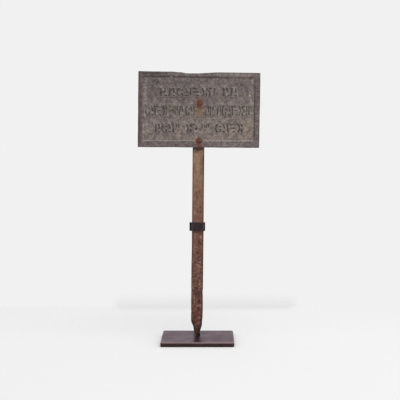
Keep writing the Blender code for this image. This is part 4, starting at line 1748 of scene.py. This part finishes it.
@dataclass(frozen=True)
class Stand:
    """The stand: plate with rounded edges, upright rod, clip and the two pins at the stake's tip."""

    plate_corner: float = 4.5 * MM
    plate_edge: float = 3.1 * MM
    strap_thickness: float = 1.2 * MM
    strap_inner_radius: float = 2.7 * MM
    strap_edge: float = 0.35 * MM
    left_reach: float = 18.1 * MM
    right_reach: float = 16.1 * MM
    rod_bevel: float = 0.6 * MM
    back_plate_corner: float = 0.8 * MM
    back_plate_edge: float = 0.4 * MM
    back_plate_margin: float = 0.2 * MM
    inner_half: float = 13.09 * MM
    pin_dome: float = 0.8 * MM

    def plate(self, material: Material) -> Piece:
        """Makes the stand plate: loops of a rounded rectangle, inset along a quarter circle on top.

        Args:
            material: Its finish.

        Returns:
            The piece.
        """
        low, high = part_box("stand_base")
        size = high - low
        inset, rise = quarter_steps(self.plate_edge, 8)
        floor_bevel = 0.3 * MM
        rings = [(floor_bevel, 0.0), (0.0, floor_bevel)]
        rings += [(i, size.z - self.plate_edge + r) for i, r in zip(inset, rise)]
        rings += [(self.plate_edge + 0.6 * MM, size.z), (self.plate_edge + 2.5 * MM, size.z)]
        loops = []
        for step, height in rings:
            corner = max(self.plate_corner - step, 0.8 * MM)
            loop = rounded_box_loop(size.x - 2 * step, size.y - 2 * step, corner, 8, 12)
            loops.append(np.column_stack((loop, np.full(len(loop), low.z + height))))
        share = np.concatenate(([0, 0], np.linspace(0, 1, len(inset)), [1, 1]))[:, None]
        share[-1] = 2.0
        places = np.stack(loops)
        # The edge value is a painted highlight along the rounded top edge, kept to the front edge.
        rounded = smooth(share, 0.0, 0.3) * smooth(share, 2.0, 1.0)
        rounded = rounded * smooth(places[..., 1], low.y + 7 * MM, low.y + 5 * MM)
        skin = Skin()
        skin.loft(places, edge=rounded, top=smooth(share, 0.75, 1.0))
        return dress(skin.make("stand_plate", SHARP_DEGREES), material, Slot.BRONZED_STEEL, "stand_base")

    def upright(self, node: str, name: str, dome: float, sides: int, material: Material) -> Piece:
        """Makes a round upright, such as the rod or a pin, with its top end eased.

        Args:
            node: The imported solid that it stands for.
            name: The piece's name.
            dome: How far below its top the end starts to round.
            sides: Points round it.
            material: Its finish.

        Returns:
            The piece.
        """
        low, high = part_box(node)
        x, y, _ = node_middle(node)
        radius = (high.x - low.x) / 2
        inset, rise = quarter_steps(dome, 6)
        foot = 0.15 * MM
        profile = [(radius - foot, low.z), (radius, low.z + foot)]
        profile += [(radius - i, high.z - dome + r) for i, r in zip(inset, rise)]
        turn = 2 * math.pi * np.arange(sides) / sides
        reach, height = np.array(profile).T[..., None]
        places = np.stack((x + reach * np.cos(turn), y + reach * np.sin(turn), height + 0 * turn), axis=-1)
        skin = Skin()
        skin.loft(places, worn=0.0, deep=0.9)
        return dress(skin.make(name, SHARP_DEGREES), material, Slot.BLACK_STEEL, node)

    def back_plate(self, material: Material) -> Piece:
        """Makes the clip's back plate: loops of a rounded rectangle along Y, inset at both faces.

        Args:
            material: Its finish.

        Returns:
            The piece.
        """
        low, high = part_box("clip_back_plate")
        x, _, z = node_middle("clip_back_plate")
        width = self.left_reach + self.right_reach - self.back_plate_margin
        height = high.z - low.z
        x += (self.right_reach - self.left_reach) / 2
        inset, rise = quarter_steps(self.back_plate_edge, 4)
        front = [(i, low.y + self.back_plate_edge - r) for i, r in zip(inset[::-1], rise[::-1])]
        back = [(i, high.y - self.back_plate_edge + r) for i, r in zip(inset, rise)]
        loops = []
        for step, y in front + back:
            loop = rounded_box_loop(width - 2 * step, height - 2 * step, self.back_plate_corner, 6, 8)
            loops.append(np.column_stack((x + loop[:, 0], np.full(len(loop), y), z + loop[:, 1])))
        skin = Skin()
        skin.loft(np.stack(loops)[:, ::-1], worn=0.0, deep=1.0)
        return dress(skin.make("clip_rear", SHARP_DEGREES), material, Slot.BLACK_STEEL, "clip_back_plate")

    def strap_side(self, half: float, front: float, flange: float, reach: float) -> np.ndarray:
        """The middle line of the strap's right half in plan, from its flange's end to its middle.

        Straight flange, quarter circle, straight side, quarter circle to the front.

        Args:
            half: Half the distance between the sides' middle lines.
            front: The front's middle line.
            flange: The flanges' middle line.
            reach: How far the flange's end is from the middle.

        Returns:
            Points, with the last dimension of two.
        """
        radius = self.strap_inner_radius + self.strap_thickness / 2
        small = self.strap_thickness * 0.75
        turn = math.pi / 2 * np.arange(9) / 8
        ends = np.array(((reach, flange), (half + small + 0.3 * MM, flange)))
        foot = np.column_stack((half + small * (1 - np.sin(turn)), flange - small * (1 - np.cos(turn))))
        corner = np.column_stack((half - radius * (1 - np.cos(turn)), front + radius * (1 - np.sin(turn))))
        across = np.column_stack((np.linspace(half - radius, 0.0, 9)[1:], np.full(8, front)))
        return np.concatenate((ends, foot, corner, across))

    def strap(self, material: Material) -> Piece:
        """Makes the strap: a rounded strip's section carried along the strap's line.

        Args:
            material: Its finish.

        Returns:
            The piece.
        """
        low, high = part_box("clip_strap")
        x, _, z = node_middle("clip_strap")
        thin = self.strap_thickness / 2
        half, front, flange = self.inner_half + thin, low.y + thin, high.y - thin
        right = self.strap_side(half, front, flange, self.right_reach)
        left = self.strap_side(half, front, flange, self.left_reach) * np.array((-1.0, 1.0))
        path = np.concatenate((left, right[:-1][::-1]))
        way = np.gradient(path, axis=0)
        way /= np.linalg.norm(way, axis=1, keepdims=True)
        section = rounded_box_loop(self.strap_thickness, high.z - low.z, self.strap_edge, 4, 10)
        out = np.column_stack((way[:, 1], -way[:, 0]))[:, None]
        spread = path[:, None] + out * section[None, :, :1]
        height = np.broadcast_to(z + section[:, 1], spread.shape[:2])
        places = np.stack((x + spread[..., 0], spread[..., 1], height), axis=-1)
        # bend: a painted highlight on the strap's rounded bends; ear: painted shade on its rear flanges.
        bend = smooth(np.abs(path[:, 0]), half - 4.2 * MM, half - 2.4 * MM)
        bend *= smooth(path[:, 1], flange - 0.5 * MM, flange - 2.0 * MM)
        ear = smooth(np.abs(path[:, 0]), half - 0.5 * MM, half + 0.6 * MM) * smooth(path[:, 1], front, flange)
        skin = Skin()
        skin.loft(places[:, ::-1], worn=bend[:, None], deep=ear[:, None])
        return dress(skin.make("clip_front", SHARP_DEGREES), material, Slot.BLACK_STEEL, "clip_strap")

    def build(self, steel: Material, black: Material) -> None:
        """Makes every piece of the stand.

        Args:
            steel: The plate's finish.
            black: The finish of the rest.
        """
        self.plate(steel)
        self.upright("stand_rod", "stand_upright", self.rod_bevel, 48, black)
        for side in ("left", "right"):
            self.upright(f"tip_pin_{side}", f"tip_stop_{side}", self.pin_dome, 32, black)
        self.back_plate(black)
        self.strap(black)


@dataclass(frozen=True)
class Studio:
    """The camera, the pale floor and the soft light."""

    camera_place: tuple[float, float, float] = (0.0333, -1.829, 0.437)
    focal_pixels: float = 850.0
    frame_pixels: float = 400.0
    sensor: float = 36.0
    horizon_row: float = 140.0
    vanishing_column: float = 213.0
    backdrop: float = 0.879
    floor_colour: Colour = (0.80, 0.80, 0.80)
    floor_cloud: Colour = (0.76, 0.76, 0.76)
    floor_end: float = 0.382
    floor_reach: float = 5.0
    # How dark the painted shade band is, along the floor's far edge and on the backdrop just above it.
    horizon_shade: float = 0.11
    floor_shade_starts: tuple[float, float] = (0.31, 0.385)
    floor_shade_span: tuple[float, float, float] = (-0.20, 0.22, 0.03)
    wall_shade_ahead: tuple[float, float] = (0.90, 0.93)
    wall_shade_span: tuple[float, float, float] = (-0.107, 0.089, 0.012)
    wall_shade_rise: tuple[float, float] = (-0.176, -0.196)
    lamp_place: tuple[float, float, float] = (0.45, -0.50, 2.40)
    lamp_size: tuple[float, float] = (1.3, 1.0)
    lamp_power: float = 17.0
    lamp_aim: tuple[float, float, float] = (0.0, 0.0, 0.35)

    def camera(self) -> None:
        """Makes the camera: tilted down so that the horizon lies on its row, and shifted sideways."""
        data = bpy.data.cameras.new("camera")
        data.sensor_width = self.sensor
        data.lens = self.focal_pixels * self.sensor / self.frame_pixels
        data.shift_x = (self.frame_pixels / 2 - self.vanishing_column) / self.frame_pixels
        data.clip_end = 50.0
        made = bpy.data.objects.new("camera", data)
        tilt = math.atan((self.frame_pixels / 2 - self.horizon_row) / self.focal_pixels)
        made.location = self.camera_place
        made.rotation_euler = (math.pi / 2 - tilt, 0.0, 0.0)
        bpy.context.scene.collection.objects.link(made)
        bpy.context.scene.camera = made

    def floor(self) -> None:
        """Makes the pale floor, with a faint grey band of painted shade along its far edge."""
        mesh = bpy.data.meshes.new("floor")
        reach, end = self.floor_reach, self.floor_end
        corners = ((-reach, -reach, 0.0), (reach, -reach, 0.0), (reach, end, 0.0), (-reach, end, 0.0))
        mesh.from_pydata(corners, (), ((0, 1, 2, 3),))
        made = bpy.data.objects.new("floor", mesh)
        bpy.context.scene.collection.objects.link(made)
        paint = Paint("floor_paint", Specular_IOR_Level=0.0)
        parts = paint.node("ShaderNodeSeparateXYZ", {0: paint.places}).outputs
        far = paint.grade(parts[1], *self.floor_shade_starts)
        shade_band = paint.math("MULTIPLY", far, paint.window(parts[0], *self.floor_shade_span))
        cloud = paint.noise(0.8, 2.0)
        pale = paint.mix(paint.grade(cloud, 0.3, 0.7, 0.0, 0.02), self.floor_colour, self.floor_cloud)
        grey = paint.mix(self.horizon_shade, pale, BLACK)
        mesh.materials.append(paint.done(paint.mix(shade_band, pale, grey), paint.grade(cloud, 0.0, 1.0, 0.8, 0.9)))

    def surroundings(self) -> None:
        """Makes the even white surroundings, with the same painted shade just above the floor's far edge."""
        world = bpy.data.worlds.new("surroundings")
        world.use_nodes = True
        nodes = Nodes(world.node_tree)
        way = nodes.node("ShaderNodeTexCoord").outputs["Generated"]
        parts = nodes.node("ShaderNodeSeparateXYZ", {0: way}).outputs
        ahead = nodes.grade(parts[1], *self.wall_shade_ahead)
        across = nodes.window(parts[0], *self.wall_shade_span)
        height = nodes.grade(parts[2], *self.wall_shade_rise)
        shade_band = nodes.math("MULTIPLY", nodes.math("MULTIPLY", ahead, across), height)
        colour = nodes.mix(shade_band, WHITE, (1.0 - self.horizon_shade,) * 3)
        sky = world.node_tree.nodes["Background"]
        world.node_tree.links.new(colour, sky.inputs["Color"])
        sky.inputs["Strength"].default_value = self.backdrop
        bpy.context.scene.world = world

    def lamp(self) -> None:
        """Makes one large soft lamp, high above on the right."""
        lamp = bpy.data.lights.new("soft_lamp", "AREA")
        lamp.shape = "RECTANGLE"
        lamp.size, lamp.size_y = self.lamp_size
        lamp.energy = self.lamp_power
        made = bpy.data.objects.new("soft_lamp", lamp)
        made.location = self.lamp_place
        aim = np.array(self.lamp_aim) - np.array(self.lamp_place)
        flat = float(np.hypot(aim[0], aim[1]))
        made.rotation_euler = (math.atan2(flat, -aim[2]), 0.0, math.atan2(aim[1], aim[0]) - math.pi / 2)
        bpy.context.scene.collection.objects.link(made)

    def build(self) -> None:
        """Makes the camera, floor and light, and leaves the colours as they are."""
        self.camera()
        self.floor()
        self.surroundings()
        self.lamp()
        bpy.context.scene.view_settings.view_transform = "Standard"


def main() -> None:
    """Builds the looks in order."""
    logging.basicConfig(level=logging.INFO, format="%(message)s")
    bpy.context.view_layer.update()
    Studio().build()

    low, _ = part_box("stake")
    tip = Lean(TIP_OFFSET, node_middle("stake")[1], low.z, STAKE_LEAN)
    foot = tip.place(0.0, 0.0, PLAQUE_FOOT_HEIGHT)
    hang = Lean(float(foot[0]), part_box("plaque")[1].y, float(foot[2]), STAKE_LEAN + PLAQUE_SKEW)

    Stand().build(BronzeLacquer().material(), BlackPaint().material())
    Stake().build(tip, IronRust().material())
    Plaque().build(hang, LeadPatina().material())
    rivet_rust = RivetRust().material()
    for node, seed in (("rivet_lower", 21), ("rivet_upper", 22)):
        Rivet(node, seed).build(rivet_rust)


if __name__ == "__main__":
    main()
